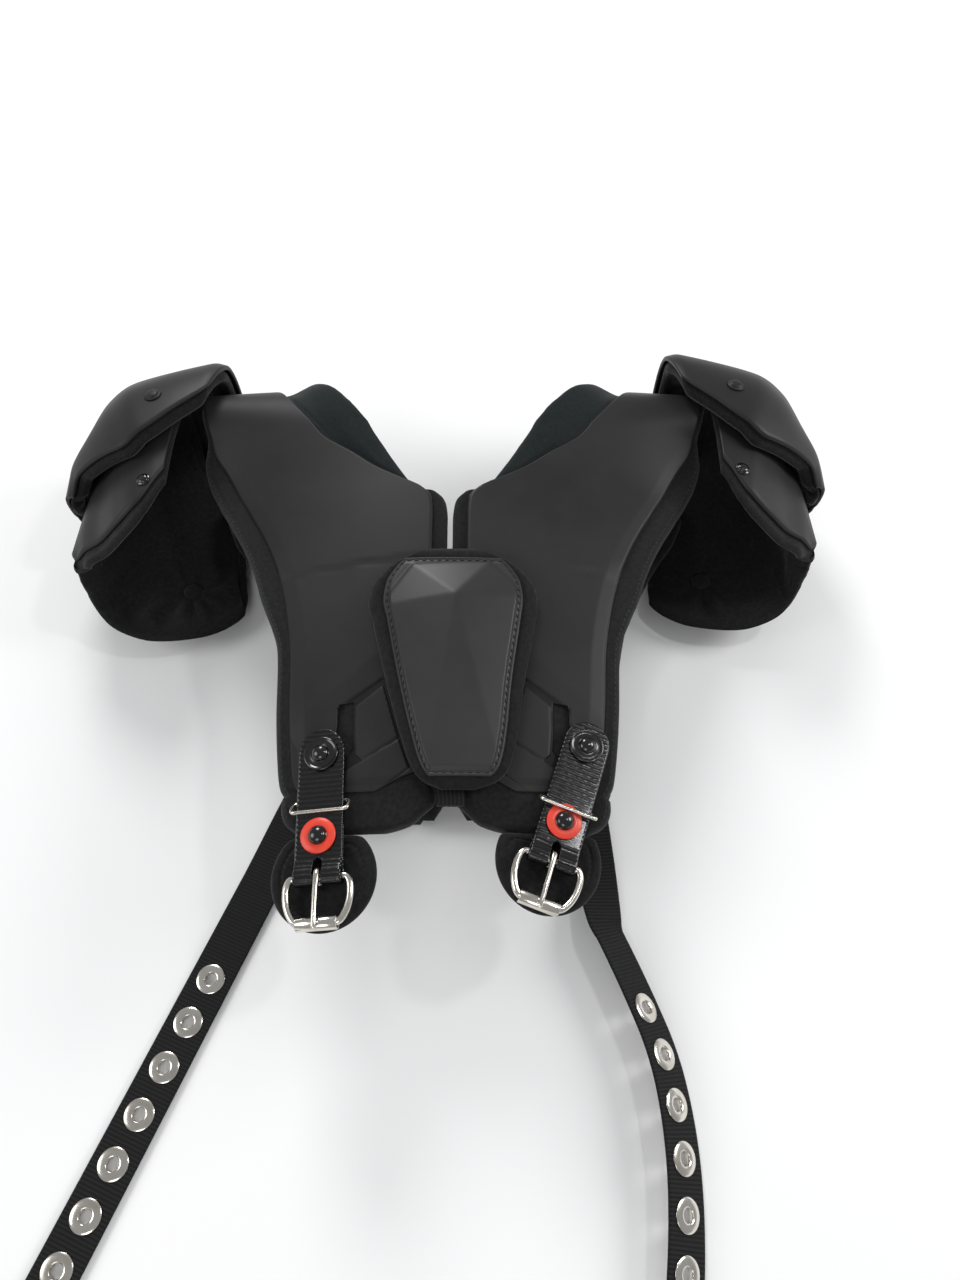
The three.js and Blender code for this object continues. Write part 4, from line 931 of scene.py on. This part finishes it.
def makeCap(name, sign):
    capSheet(f"epaulet_{name}_shell", epauletRows, epauletSize, sign, cap["epauletThick"], [f"epaulet_{name}"],
             cap["epauletFacet"])
    capPad(f"epauletPad_{name}", epauletRows, epauletSize, sign, cap["epauletThick"] + cap["padGap"],
           cap["padThick"], cap["padLap"], "fabric", [f"epaulet_pad_{name}"], 11)
    capSheet(f"shoulderCup_{name}", cupRows, cupSize, sign, cap["cupThick"], [f"shoulder_cup_{name}"],
             cap["cupFacet"])
    capPad(f"cupLining_{name}", cupRows, cupSize, sign, cap["cupThick"] + cap["padGap"], cap["liningThick"],
           cap["liningLap"], "fabric", [f"cup_lining_{name}"], 17, liningSpot)
    deep = cap["cupThick"] + cap["padGap"] + cap["liningThick"] - liningSpot["dimple"] - 0.4
    place = onCap(cupRows, cupSize, liningSpot["button"], sign, -deep)
    piece = lathe(f"liningButton_{name}", buttonProfile, 40, place, "fabric")
    for kind, rows, size, look in (("epaulet", epauletRows, epauletSize, "shell"),
                                   ("cup", cupRows, cupSize, "snap")):
        place = onCap(rows, size, rivets[kind], sign, 0.1)
        head = rivetHead(rivets[f"{kind}Radius"], rivets["height"])
        lathe(f"{kind}Rivet_{name}", head, 40, place, look, nodes=[f"{kind}_rivet_{name}"])


hinge = {"width": 25.4, "thick": 2.0, "lift": 0.6, "bevel": 0.5, "onArch": (0.7, 0.8, 0.9),
         "onCup": (0, 0.15, 0.28), "turn": 0.16}


def makeHinge(name, sign):  # strap from the crown to the cup's ridge, under the epaulet
    onArch = torso(0.5, np.array(hinge["onArch"]) * arch["halfSpan"], hinge["lift"]) * (sign, 1, 1)
    t = np.array(hinge["onCup"])
    onCup = capPoint(cupRows, cupSize, t, hinge["turn"])
    onCup[:, 2] = cap["mid"]
    onCup = slumped(onCup + capNormal(cupRows, cupSize, t, 0.0) * hinge["lift"], sign)
    path = openPath(np.concatenate([onArch, onCup]), 6)
    z = np.linspace(-0.5, 0.5, 9) * hinge["width"]
    low = path[:, None] + z[:, None] * (0, 0, 1)
    slab(f"hingeStrap_{name}", low + (0, hinge["thick"], 0), low, "webbing",
         uv=stripUv(z[None], runAlong(path)[:, None]), bevel=hinge["bevel"], nodes=[f"shoulder_hinge_strap_{name}"])


for sideName, sideSign in sides.items():
    makeCap(sideName, sideSign)
    makeHinge(sideName, sideSign)
print("caps and cups")


# Chest pad and faceted plate

chest = {"top": -1.0, "length": 148.0, "half": 48.0, "shift": 3.0, "padThick": 7.0, "inset": 8.5, "foot": 5.1,
         "edge": 2.2, "corner": 3.6, "apex": 9.4, "apexAt": (4.4, -38.5), "lift": 0.6, "sink": 0.8, "rim": 5.5,
         "seamAt": 2.3, "facetFrom": 4.0, "facetSlope": 0.55, "soften": 1.3}
chestEdges = np.array([
    (0, -.25, .2), (.04, -.62, .6), (.1, -.86, .86), (.17, -1.0, 1.0), (.24, -1.03, 1.03), (.32, -.97, .99),
    (.6, -.75, .83), (.8, -.57, .74), (.92, -.43, .64), (.97, -.3, .5), (1, -.1, .26)])
# corners of the facets round the apex
facetCorners = np.array([(-20, -16.0), (23.5, -14.5), (45.5, -36), (29, -138.5), (-9, -139.5), (-38, -42.5)])


def chestAt(down, across, lift):
    left, right = edgesAt(chestEdges, down, chest["half"])
    x = chest["shift"] + mix(left, right, across)
    return torso(frontQ(chest["top"] - down * chest["length"]), x, lift)


def facetHeight(x, y):  # a fan of flat facets from the apex to its corners, then a slope to the stitched rim
    centre = np.array(chest["apexAt"])
    edges = unit(np.roll(facetCorners, -1, 0) - facetCorners)
    normals = np.stack([edges[:, 1], -edges[:, 0]], -1)
    reach = ((facetCorners - centre) * normals).sum(-1)
    away = np.stack([x - centre[0], y - centre[1]], -1) @ (normals * np.sign(reach)[:, None]).T
    reach = np.abs(reach)
    fan = mix(chest["apex"], chest["corner"], np.clip((away / reach).max(-1), 0, 1))
    return fan - np.clip((away - reach).max(-1), 0, 20) * chest["facetSlope"]


def softFacets(x, y):  # the same with its creases eased over a couple of millimetres
    r = chest["soften"]
    spots = [(0, 0), (r, 0), (-r, 0), (0, r), (0, -r)]
    return sum(facetHeight(x + dx, y + dy) for dx, dy in spots) / len(spots)


def chestEdgeDistance(across, width, run):
    return np.minimum(np.minimum(across, 1 - across) * width, np.minimum(run, run[-1] - run))


def makeChest():
    down = rimSteps(110, 0.8)[:, None]
    across = rimSteps(70, 0.8)[None]
    flat = chestAt(down, across, 0)
    width = np.linalg.norm(flat[:, -1] - flat[:, 0], axis=-1)[:, None]
    fromEdge = chestEdgeDistance(across, width, down * chest["length"])
    full = roundRim(fromEdge, chest["rim"])
    top = chest["lift"] + chest["padThick"] * mix(0.45, 1.0, full) - smooth(6.0, 10.5, fromEdge) * chest["sink"]
    under = chest["lift"] + chest["padThick"] * 0.3 * (1 - full)
    pad = slab("chestPad", chestAt(down, across, top), chestAt(down, across, under), "fabric", nodes=["chest_pad"])

    inset = chest["inset"] / (2 * chest["half"])
    spread = rimSteps(150, 0.3)[:, None]
    low = mix(chest["inset"], chest["length"] - chest["foot"], spread) / chest["length"]
    share = rimSteps(110, 0.3)[None]
    sideways = mix(inset, 1 - inset, share)
    flat = chestAt(low, sideways, 0)
    width = np.linalg.norm(flat[:, -1] - flat[:, 0], axis=-1)[:, None]
    fromEdge = chestEdgeDistance(share, width, spread * (chest["length"] - chest["foot"] - chest["inset"]))
    base = 2 * chest["lift"] + chest["padThick"] - chest["sink"]
    rim = chest["edge"] * roundRim(fromEdge, 1.2) - 0.7 * bell(fromEdge - chest["seamAt"], 0.7)
    facets = np.maximum(softFacets(flat[..., 0], flat[..., 1]), chest["edge"] + 0.2)
    lift = mix(rim, facets, smooth(chest["facetFrom"] - 0.6, chest["facetFrom"] + 0.6, fromEdge))
    slab("chestPlate", chestAt(low, sideways, base + lift), chestAt(low, sideways, base), "plate",
         nodes=["chest_plate"])

    ring = outlineOf(low, sideways, chest["seamAt"])
    path = chestAt(ring[:, 0], ring[:, 1], base + chest["edge"] - 0.35)
    up = torsoNormal(frontQ(path[:, 1]), path[:, 0])
    stitches("chestStitches", path, up, "thread", pitch=4.4, length=2.9, width=0.9)


def outlineOf(down, across, inset):  # a rounded loop just inside a patch's border, as (down, across) shares
    d0, d1 = float(down.min()), float(down.max())
    a0, a1 = float(across.min()), float(across.max())
    dIn = inset / chest["length"]
    rows = np.linspace(d0 + dIn, d1 - dIn, 120)
    left, right = edgesAt(chestEdges, rows, chest["half"])
    aIn = inset / (right - left)
    first = np.stack([rows, a0 + aIn], -1)
    second = np.stack([rows, a1 - aIn], -1)
    head = np.stack([np.full(14, rows[0]), np.linspace(second[0, 1], first[0, 1], 14)], -1)
    foot = np.stack([np.full(14, rows[-1]), np.linspace(first[-1, 1], second[-1, 1], 14)], -1)
    return np.concatenate([first, foot, second[::-1], head])


link = {"width": 15.0, "below": 7.0, "above": 6.0, "gap": 0.3, "liftOff": 0.85, "thick": 3.0, "bevel": 0.5}


def makeLink():  # band that ties the liners below the chest pad
    y = chest["top"] - chest["length"] - link["gap"]
    x = np.linspace(-0.5, 0.5, 13)[None] * link["width"] + chest["shift"]
    rows = np.linspace(y - link["below"], y + link["above"], 9)[:, None]
    low = torso(frontQ(rows), x, 0)
    low[..., 2] = torso(frontQ(y - link["below"]), link["width"], link["liftOff"] - linerTop)[2]
    slab("lowerLink", low + (0, 0, link["thick"]), low, "webbing", uv=stripUv(rows, x), bevel=link["bevel"],
         nodes=["lower_link"])


bridge = {"low": -96.0, "high": 56.0, "half": 62.0, "end": 0.82, "endShare": 0.08, "lift": 0.3, "rim": 1.6,
          "rimLift": 0.9}


def makeBridge():  # plate under both back shells, flat on the floor
    up = rimSteps(60, 0.6)[:, None]
    y = mix(bridge["low"], bridge["high"], up)
    half = bridge["half"] * np.minimum(1, mix(bridge["end"], 1, np.minimum(up, 1 - up) / bridge["endShare"]))
    x = np.linspace(-1, 1, 60)[None] * half
    top = torso(backQ(y), x, bridge["lift"])
    fromEdge = np.minimum(half - np.abs(x), np.minimum(y - bridge["low"], bridge["high"] - y))
    floor = top.copy()
    floor[..., 2] = bridge["rimLift"] * (1 - roundRim(fromEdge, bridge["rim"]))
    slab("backBridge", top, floor, "shell", nodes=["back_bridge"])


makeChest()
makeLink()
makeBridge()
print("chest plate, link and bridge")


# Buckle straps, in a frame at each rivet: X across, Y up the strap, Z off the shell

strap = {
    "width": 25.4, "thick": 2.0, "tail": 66.0, "head": 14.5, "lift": 0.6, "fold": 28.0, "eye": 3.4,
    "washer": 9.5, "washerThick": 1.4, "dome": 4.75, "domeHeight": 3.4, "post": 2.8, "snapAt": 45.0,
    "keeperWidth": 33.0, "keeperWire": 1.1, "frameWire": 2.0, "prongWire": 1.4, "roller": 3.6,
    "rollerLength": 21.5, "rollerBore": 2.4, "rollerY": -89.0, "flapRadius": 28.5, "flapDrop": 64.0,
    "flapThick": 6.0, "flapGap": 0.85, "flapRim": 3.2, "flapSeam": 6.2, "flapStuffed": 1.2, "cut": (5.0, 16.0),
    "gap": 0.3, "wireGap": 0.4, "snapLift": 0.25,
}
# rivet from the centre line and below the arch axis, turn in degrees, keeper below the rivet, its lean, its ride
strapPlaces = {"left": (67.0, 231.0, 2.0, 29.0, 6.0, 0.0), "right": (76.0, 226.0, -18.0, 36.6, 3.8, 1.7)}
strapFace = strap["lift"] + strap["thick"]


def strapFrame(name, sign):
    across, down, turn = strapPlaces[name][:3]
    q = -down / arch["frontLength"]
    here = torso(q, sign * across, 0)
    beside = unit(torso(q, sign * across + 1, 0) - here)
    above = unit(torso(q + 1 / arch["frontLength"], sign * across, 0) - here)
    normal = unit(np.cross(beside, above))
    above = unit(np.cross(normal, beside))
    c, s = math.cos(math.radians(turn)), math.sin(math.radians(turn))
    basis = np.stack([c * beside + s * above, -s * beside + c * above, normal])
    return lambda local: np.asarray(local, float) @ basis + here, basis, here


def arcPoints(radius, degrees):
    return [(radius * math.cos(math.radians(d)), radius * math.sin(math.radians(d))) for d in degrees]


def makeStrap(name, put):
    s = strap
    half = s["width"] / 2
    turnY = [(s["head"], 1.6), (6, 1.6), (-15, 1.6), (-35, 1.6), (-56, 1.6), (-60.5, 2.3), (-63.4, 3.4)]
    arc = [(y - s["tail"], z + s["lift"]) for y, z in arcPoints(s["eye"], range(90, 271, 30))]
    back = [(-62.6, -2.3), (-59, -1.0), (-55.5, -0.45), (-48, -0.4), (-s["tail"] + s["fold"], -0.4)]
    path = openPath([(0, y, z) for y, z in turnY + arc + back], 7)
    headRows = s["head"] - half * (1 - np.cos(np.linspace(0, np.pi / 2, 14)))
    head = [(0, y, 1.6) for y in headRows]
    path = np.concatenate([head, path[path[:, 1] < headRows[-1] - 0.5]])
    ahead = unit(np.gradient(path, axis=0))
    normal = np.cross(ahead, (1, 0, 0))
    normal = unit(normal * np.where(normal[:1, 2:] < 0, -1, 1))
    y = path[:, 1]
    onHead = np.arange(len(path)) < len(head)
    width = np.where(onHead, np.sqrt(np.clip(half ** 2 - (y - (s["head"] - half)) ** 2, 0.02, None)), half)
    share = (rimSteps(25, 0.5) * 2 - 1)[None, :, None]
    x = share * width[:, None, None] * np.array([1, 0, 0])
    edge = np.clip((1 - np.abs(share)) * width[:, None, None] / 1.1, 0, 1)
    body = 0.5 * s["thick"] * (0.55 + 0.45 * np.sqrt(1 - (1 - edge) ** 2))
    grids = [put(path[:, None] + x + side * normal[:, None] * body) for side in (1, -1)]
    piece = slab(f"buckleStrap_{name}", *grids, "vinyl", uv=stripUv(x[..., 0], runAlong(path)[:, None]),
                 nodes=[f"buckle_strap_{name}"])
    # slot for the prong through the eye, with a peak at its upper end
    wide, low, high = 0.5 * s["cut"][0], -s["tail"] - 6, -s["tail"] - 6 + s["cut"][1]
    corners = [(-wide, low), (wide, low), (wide, high - 2), (0, high), (-wide, high - 2)]
    cut(piece, cutterFrom(put(prism(corners, -8, 8)), prismFaces(len(corners))))


def domeProfile(radius, low, height):
    turn = np.linspace(0, np.pi / 2, 12)
    return [(radius * math.cos(t), low + height * math.sin(t)) for t in turn[:-1]] + [(0, low + height)]


def makeSnaps(name, put):
    s = strap
    base = strapFace + s["snapLift"]
    r, t = s["washer"], s["washerThick"]
    rivet = [(0, 0), (r - .3, 0), (r, .3), (r, t - .4), (r - .35, t - .05), (r - 1.1, t), (r - 1.5, t - .45),
             (r - 2.6, t - .45), (s["dome"] + .9, t - .1), (s["dome"] + .2, t)]
    rivet += domeProfile(s["dome"], t, s["domeHeight"])
    lathe(f"strapRivet_{name}", rivet, 56, lambda g: put(g + (0, 0, base)), "snap", nodes=[f"strap_rivet_{name}"])
    i = s["post"] + s["wireGap"]
    ring = [(i, .3), (i + .3, 0), (r - .5, 0), (r, .4), (r, t - .5), (r - .5, t), (i + .4, t), (i, t - .4),
            (i, .3)]
    lathe(f"snapWasher_{name}", ring, 56, lambda g: put(g + (0, -s["snapAt"], base)), "washer",
          nodes=[f"snap_washer_{name}"])
    low = t + s["gap"]
    stud = [(0, 0), (s["post"], 0), (s["post"], low), (s["dome"] + .25, low), (s["dome"] + .25, low + .25)]
    stud += domeProfile(s["dome"], low + .25, s["domeHeight"] - .25)
    lathe(f"snapStud_{name}", stud, 48, lambda g: put(g + (0, -s["snapAt"], base)), "snap",
          nodes=[f"snap_stud_{name}"])


def loopPoints(width, height, corner, steps=7):
    out = []
    for quarter, (sx, sy) in enumerate([(1, 1), (-1, 1), (-1, -1), (1, -1)]):
        turn = np.pi / 2 * (quarter + np.linspace(0, 1, steps))
        out.append(np.stack([sx * (width / 2 - corner) + corner * np.cos(turn),
                             sy * (height / 2 - corner) + corner * np.sin(turn), 0 * turn], -1))
    loop = np.concatenate(out)
    dense = []
    for a, b in zip(loop, np.roll(loop, -1, 0)):
        n = max(1, int(np.linalg.norm(b - a) / 1.5))
        dense.append(mix(a, b, np.linspace(0, 1, n, endpoint=False)[:, None]))
    return np.concatenate(dense)


def makeKeeper(name, put, basis):
    keeper, span, rides = strapPlaces[name][3:]
    s = strap
    rise = s["thick"] + rides + 2 * (s["gap"] + s["keeperWire"])
    length = math.hypot(rise, span)
    loop = loopPoints(s["keeperWidth"] - 2 * s["keeperWire"], length, 2.2 * s["keeperWire"])
    lean = -math.atan2(rise, span)
    turn = np.array([(1, 0, 0), (0, math.cos(lean), math.sin(lean)), (0, -math.sin(lean), math.cos(lean))])
    loop = loop @ turn + (0, -keeper, s["lift"] + (s["thick"] + rides) / 2)
    plane = np.array([0, 0, 1]) @ turn @ basis
    sweep(f"strapKeeper_{name}", put(loop), s["keeperWire"], 14, True, plane, "nickel",
          nodes=[f"strap_keeper_{name}"])


# right half of the buckle frame from its bar to its roller
buckleHalf = [(12.5, -66), (15.0, -66.7), (16.6, -69.5), (17.0, -74), (16.3, -79.5), (14.4, -84.5), (11.5, -88.1),
              (7, -89)]


def makeBuckle(name, put, basis):
    s = strap
    half = [(4, -66)] + buckleHalf
    loop = [(x, y, s["lift"]) for x, y in half + [(0, -89)] + [(-x, y) for x, y in half[::-1]]]
    loop = roundedPath(loop, 8)
    sweep(f"buckleFrame_{name}", put(loop), s["frameWire"] * 0.96, 18, True, basis[2], "nickel",
          body=f"frame_{name}", nodes=[f"buckle_frame_{name}"])
    # the prong wraps its bar, then lies over the roller and ends in a blunt tip
    wrap = s["frameWire"] + s["wireGap"] + s["prongWire"]
    route = [(y - s["tail"], z + s["lift"]) for y, z in arcPoints(wrap, (-160, -120, -80, -40, 0, 45, 90))]
    over = s["lift"] + s["roller"] + s["gap"] + s["prongWire"]
    route += [(-74, over - .5), (-82, over - .1), (s["rollerY"], over), (s["rollerY"] - 3.0, over - .3),
              (s["rollerY"] - 3.6, over - .45)]
    path = openPath([(0, y, z) for y, z in route], 7)
    run = runAlong(path)
    tip = np.clip((run[-1] - run) / 1.6, 0.02, 1)
    radius = s["prongWire"] * np.sqrt(np.clip(1 - (1 - tip) ** 2, 0.05, 1))
    radius = radius * np.where(run < 1.2, np.sqrt(np.clip(run / 1.2, 0.08, 1)), 1)
    grid = sweepGrid(put(path), radius, 16, False, basis[0])
    # its loop is wider across than thick
    middle = put(path)[:, None]
    across = ((grid - middle) @ basis[0])[..., None] * basis[0]
    grid = grid + across * 0.25 * smooth(0.6, 0.2, run / run[-1])[:, None, None]
    addPiece(f"bucklePin_{name}", grid, tubeFaces(len(path), 16, False), "nickel", body=f"prong_{name}",
             nodes=[f"buckle_prong_{name}"])
    bore, r, length = s["rollerBore"], s["roller"], s["rollerLength"]
    profile = [(bore, 0), (r - .3, 0), (r, .3), (r, length - .3), (r - .3, length), (bore, length), (bore, 0)]
    lathe(f"buckleRoller_{name}", profile, 40,
          lambda g: put(np.stack([g[..., 2] - length / 2, g[..., 0] + s["rollerY"], g[..., 1] + s["lift"]], -1)),
          "nickel", body=f"roller_{name}", nodes=[f"buckle_roller_{name}"])


def makeFlap(name, put, basis, here):
    s = strap
    top = s["lift"] - s["frameWire"] - s["wireGap"] - 2 * s["prongWire"] - s["gap"]
    hemY = arch["line"] - arch["frontLength"] - arch["hem"] - s["flapGap"]
    turn = np.linspace(0, 2 * np.pi, 160, endpoint=False)[:, None]
    ring = np.stack([np.cos(turn), np.sin(turn)], -1)
    # distance from the flap's middle to its edge: a circle cut off by the liner's hem
    hemAt = (hemY - here[1] - basis[2][1] * top) / basis[1][1] + s["flapDrop"]
    slope = -basis[0][1] / basis[1][1]
    upward = ring[..., 1] - slope * ring[..., 0]
    toHem = np.where(upward > 0, hemAt / np.maximum(upward, 1e-3), 1e3)
    reach = -np.log(np.exp(-s["flapRadius"] / 1.2) + np.exp(-np.minimum(toHem, 60) / 1.2)) * 1.2
    toRim = 0.7 + 0.3 * np.sin(np.linspace(0, np.pi / 2, 22))
    distance = np.concatenate([np.linspace(0.03, 0.7, 16, endpoint=False), toRim])[None] * reach
    fromEdge = reach - distance
    full = roundRim(fromEdge, s["flapRim"])
    pillow = -1.1 * smooth(7, 15, fromEdge) - 0.9 * bell(fromEdge - s["flapSeam"], 0.8)
    pillow = pillow + 0.25 * np.sin(distance * 0.9 + 3 * np.sin(turn * 2)) * smooth(6, 12, fromEdge)
    high = mix(-0.5 * s["flapThick"], 0, full) + pillow * full
    low = mix(-0.5 * s["flapThick"], -s["flapThick"], full)
    x, y = distance * ring[..., 0], distance * ring[..., 1] - s["flapDrop"]
    grids = [put(np.stack([x, y, top + lift], -1)) for lift in (high, low)]
    piece = slab(f"beltFlap_{name}", *grids, "fabric", wrapRows=True, nodes=[f"belt_flap_{name}"])
    puff(piece, s["flapStuffed"], grids, [0.6 * smooth(7, 13, fromEdge), smooth(1, 5, fromEdge)])
    near = (reach[:, 0] - s["flapSeam"])[:, None] * ring[:, 0]
    path = put(np.insert(near - (0, s["flapDrop"]), 2, top - 1.0, 1))
    path = np.concatenate([path, path[:1]])
    up = np.broadcast_to(basis[2], path.shape)
    stitches(f"flapStitches_{name}", path, up, "thread", pitch=3.0, length=2.0, width=0.5)


for sideName, sideSign in sides.items():
    putStrap, strapBasis, strapHere = strapFrame(sideName, sideSign)
    makeStrap(sideName, putStrap)
    makeSnaps(sideName, putStrap)
    makeKeeper(sideName, putStrap, strapBasis)
    makeBuckle(sideName, putStrap, strapBasis)
    makeFlap(sideName, putStrap, strapBasis, strapHere)
print("buckle straps")


# Belts: heading away from straight down and roll, in degrees, by the share along

belt = {
    "width": 25.4, "thick": 1.6, "length": 332.0, "pitch": 25.4, "first": 157.0, "count": 7, "radius": 8.5,
    "hole": 3.5, "barrel": 4.3, "flange": 0.9, "gap": 0.5, "drop": (0.12, 0.3), "holeSides": 28, "seat": 0.3,
    "starts": {"left": (80.0, 182.5), "right": (84.0, 192.5)},
}
# share along the belt, heading, roll
beltTurns = {
    "left": np.array([(0, 22, 0), (1, 22, 0)], float),
    "right": np.array([(0, 4, 0), (.2, 5, 0), (.31, 6, 30), (.34, 24, 42), (.5, 20, 42), (.6, 8, 40),
                       (.76, -4, 36), (.86, -9, 34), (1, -11, 34)]),
}


def beltAt(name, sign, distance):  # place, heading, width and normal at distances along the belt
    turns = beltTurns[name]
    across, down = belt["starts"][name]
    fine = np.linspace(0, belt["length"], 1200)
    heading = np.radians(np.interp(fine / belt["length"], turns[:, 0], turns[:, 1]))
    step = fine[1]
    x = across + np.concatenate([[0], np.cumsum(np.sin(heading)[:-1] * step)])
    y = arch["line"] - down - np.concatenate([[0], np.cumsum(np.cos(heading)[:-1] * step)])
    share = distance / belt["length"]
    heading = np.radians(np.interp(share, turns[:, 0], turns[:, 1]))
    roll = np.radians(np.interp(share, turns[:, 0], turns[:, 2]))
    zero = 0 * heading
    along = np.stack([np.sin(heading), -np.cos(heading), zero], -1)
    wide = np.stack([np.cos(heading) * np.cos(roll), np.sin(heading) * np.cos(roll), -np.sin(roll)], -1)
    seat, half = belt["seat"], belt["width"] / 2
    under = torso(backQ(arch["line"] - down), across - half, seat)[2] - belt["thick"] / 2
    floor = belt["flange"] + belt["gap"] + seat + belt["thick"] / 2 + half * np.sin(roll)
    z = mix(under, floor, smooth(*belt["drop"], share))
    point = np.stack([np.interp(distance, fine, x), np.interp(distance, fine, y), z], -1)
    point, along, wide = (v * (sign, 1, 1) for v in (point, along, wide))
    return point, along, wide, unit(np.cross(wide, along) * -sign)


def makeBelt(name, sign):
    distance = np.linspace(0, belt["length"], 240)
    point, _, wide, normal = beltAt(name, sign, distance)
    share = (rimSteps(21, 0.5) - 0.5)[None, :, None]
    edge = np.clip((0.5 - np.abs(share)) * belt["width"], 0, 1)
    thick = 0.5 * belt["thick"] * (0.6 + 0.4 * np.sqrt(1 - (1 - edge) ** 2))
    middle = point[:, None] + wide[:, None] * share * belt["width"]
    grids = [middle + side * normal[:, None] * thick for side in (1, -1)]
    piece = slab(f"beltWebbing_{name}", *grids, "webbing",
                 uv=stripUv(share[..., 0] * belt["width"], distance[:, None]), nodes=[f"belt_webbing_{name}"])
    b = belt
    rim = b["thick"] / 2 + 0.15
    h, g, w = b["hole"], b["radius"], b["flange"]
    half = [(h, 0), (h, rim + .55 * w), (h + .35, rim + .9 * w), (h + 1.2, rim + w), (g - 1.5, rim + .8 * w),
            (g - .35, rim + .45 * w), (g, rim + .15 * w), (g - .2, rim - .1), (b["barrel"], rim - .1)]
    profile = half + [(r, -z) for r, z in half[::-1]]
    turn = np.linspace(0, 2 * np.pi, b["holeSides"], endpoint=False)
    drill = prism(b["barrel"] * np.stack([np.cos(turn), np.sin(turn)], -1), -3, 3)
    points, faces = [], []
    for k in range(b["count"]):
        p, a, _, n = beltAt(name, sign, np.array(b["first"] + k * b["pitch"]))
        basis = np.stack([np.cross(a, n), a, n])
        put = (lambda grid, p=p, basis=basis: grid @ basis + p)
        lathe(f"grommet_{name}_{k + 1}_ring", profile, 44, put, "nickel", nodes=[f"grommet_{name}_{k + 1}"])
        points.append(put(drill))
        faces += prismFaces(b["holeSides"], k * len(drill))
    cut(piece, cutterFrom(np.concatenate(points), faces))


for sideName, sideSign in sides.items():
    makeBelt(sideName, sideSign)
print("belts and grommets")
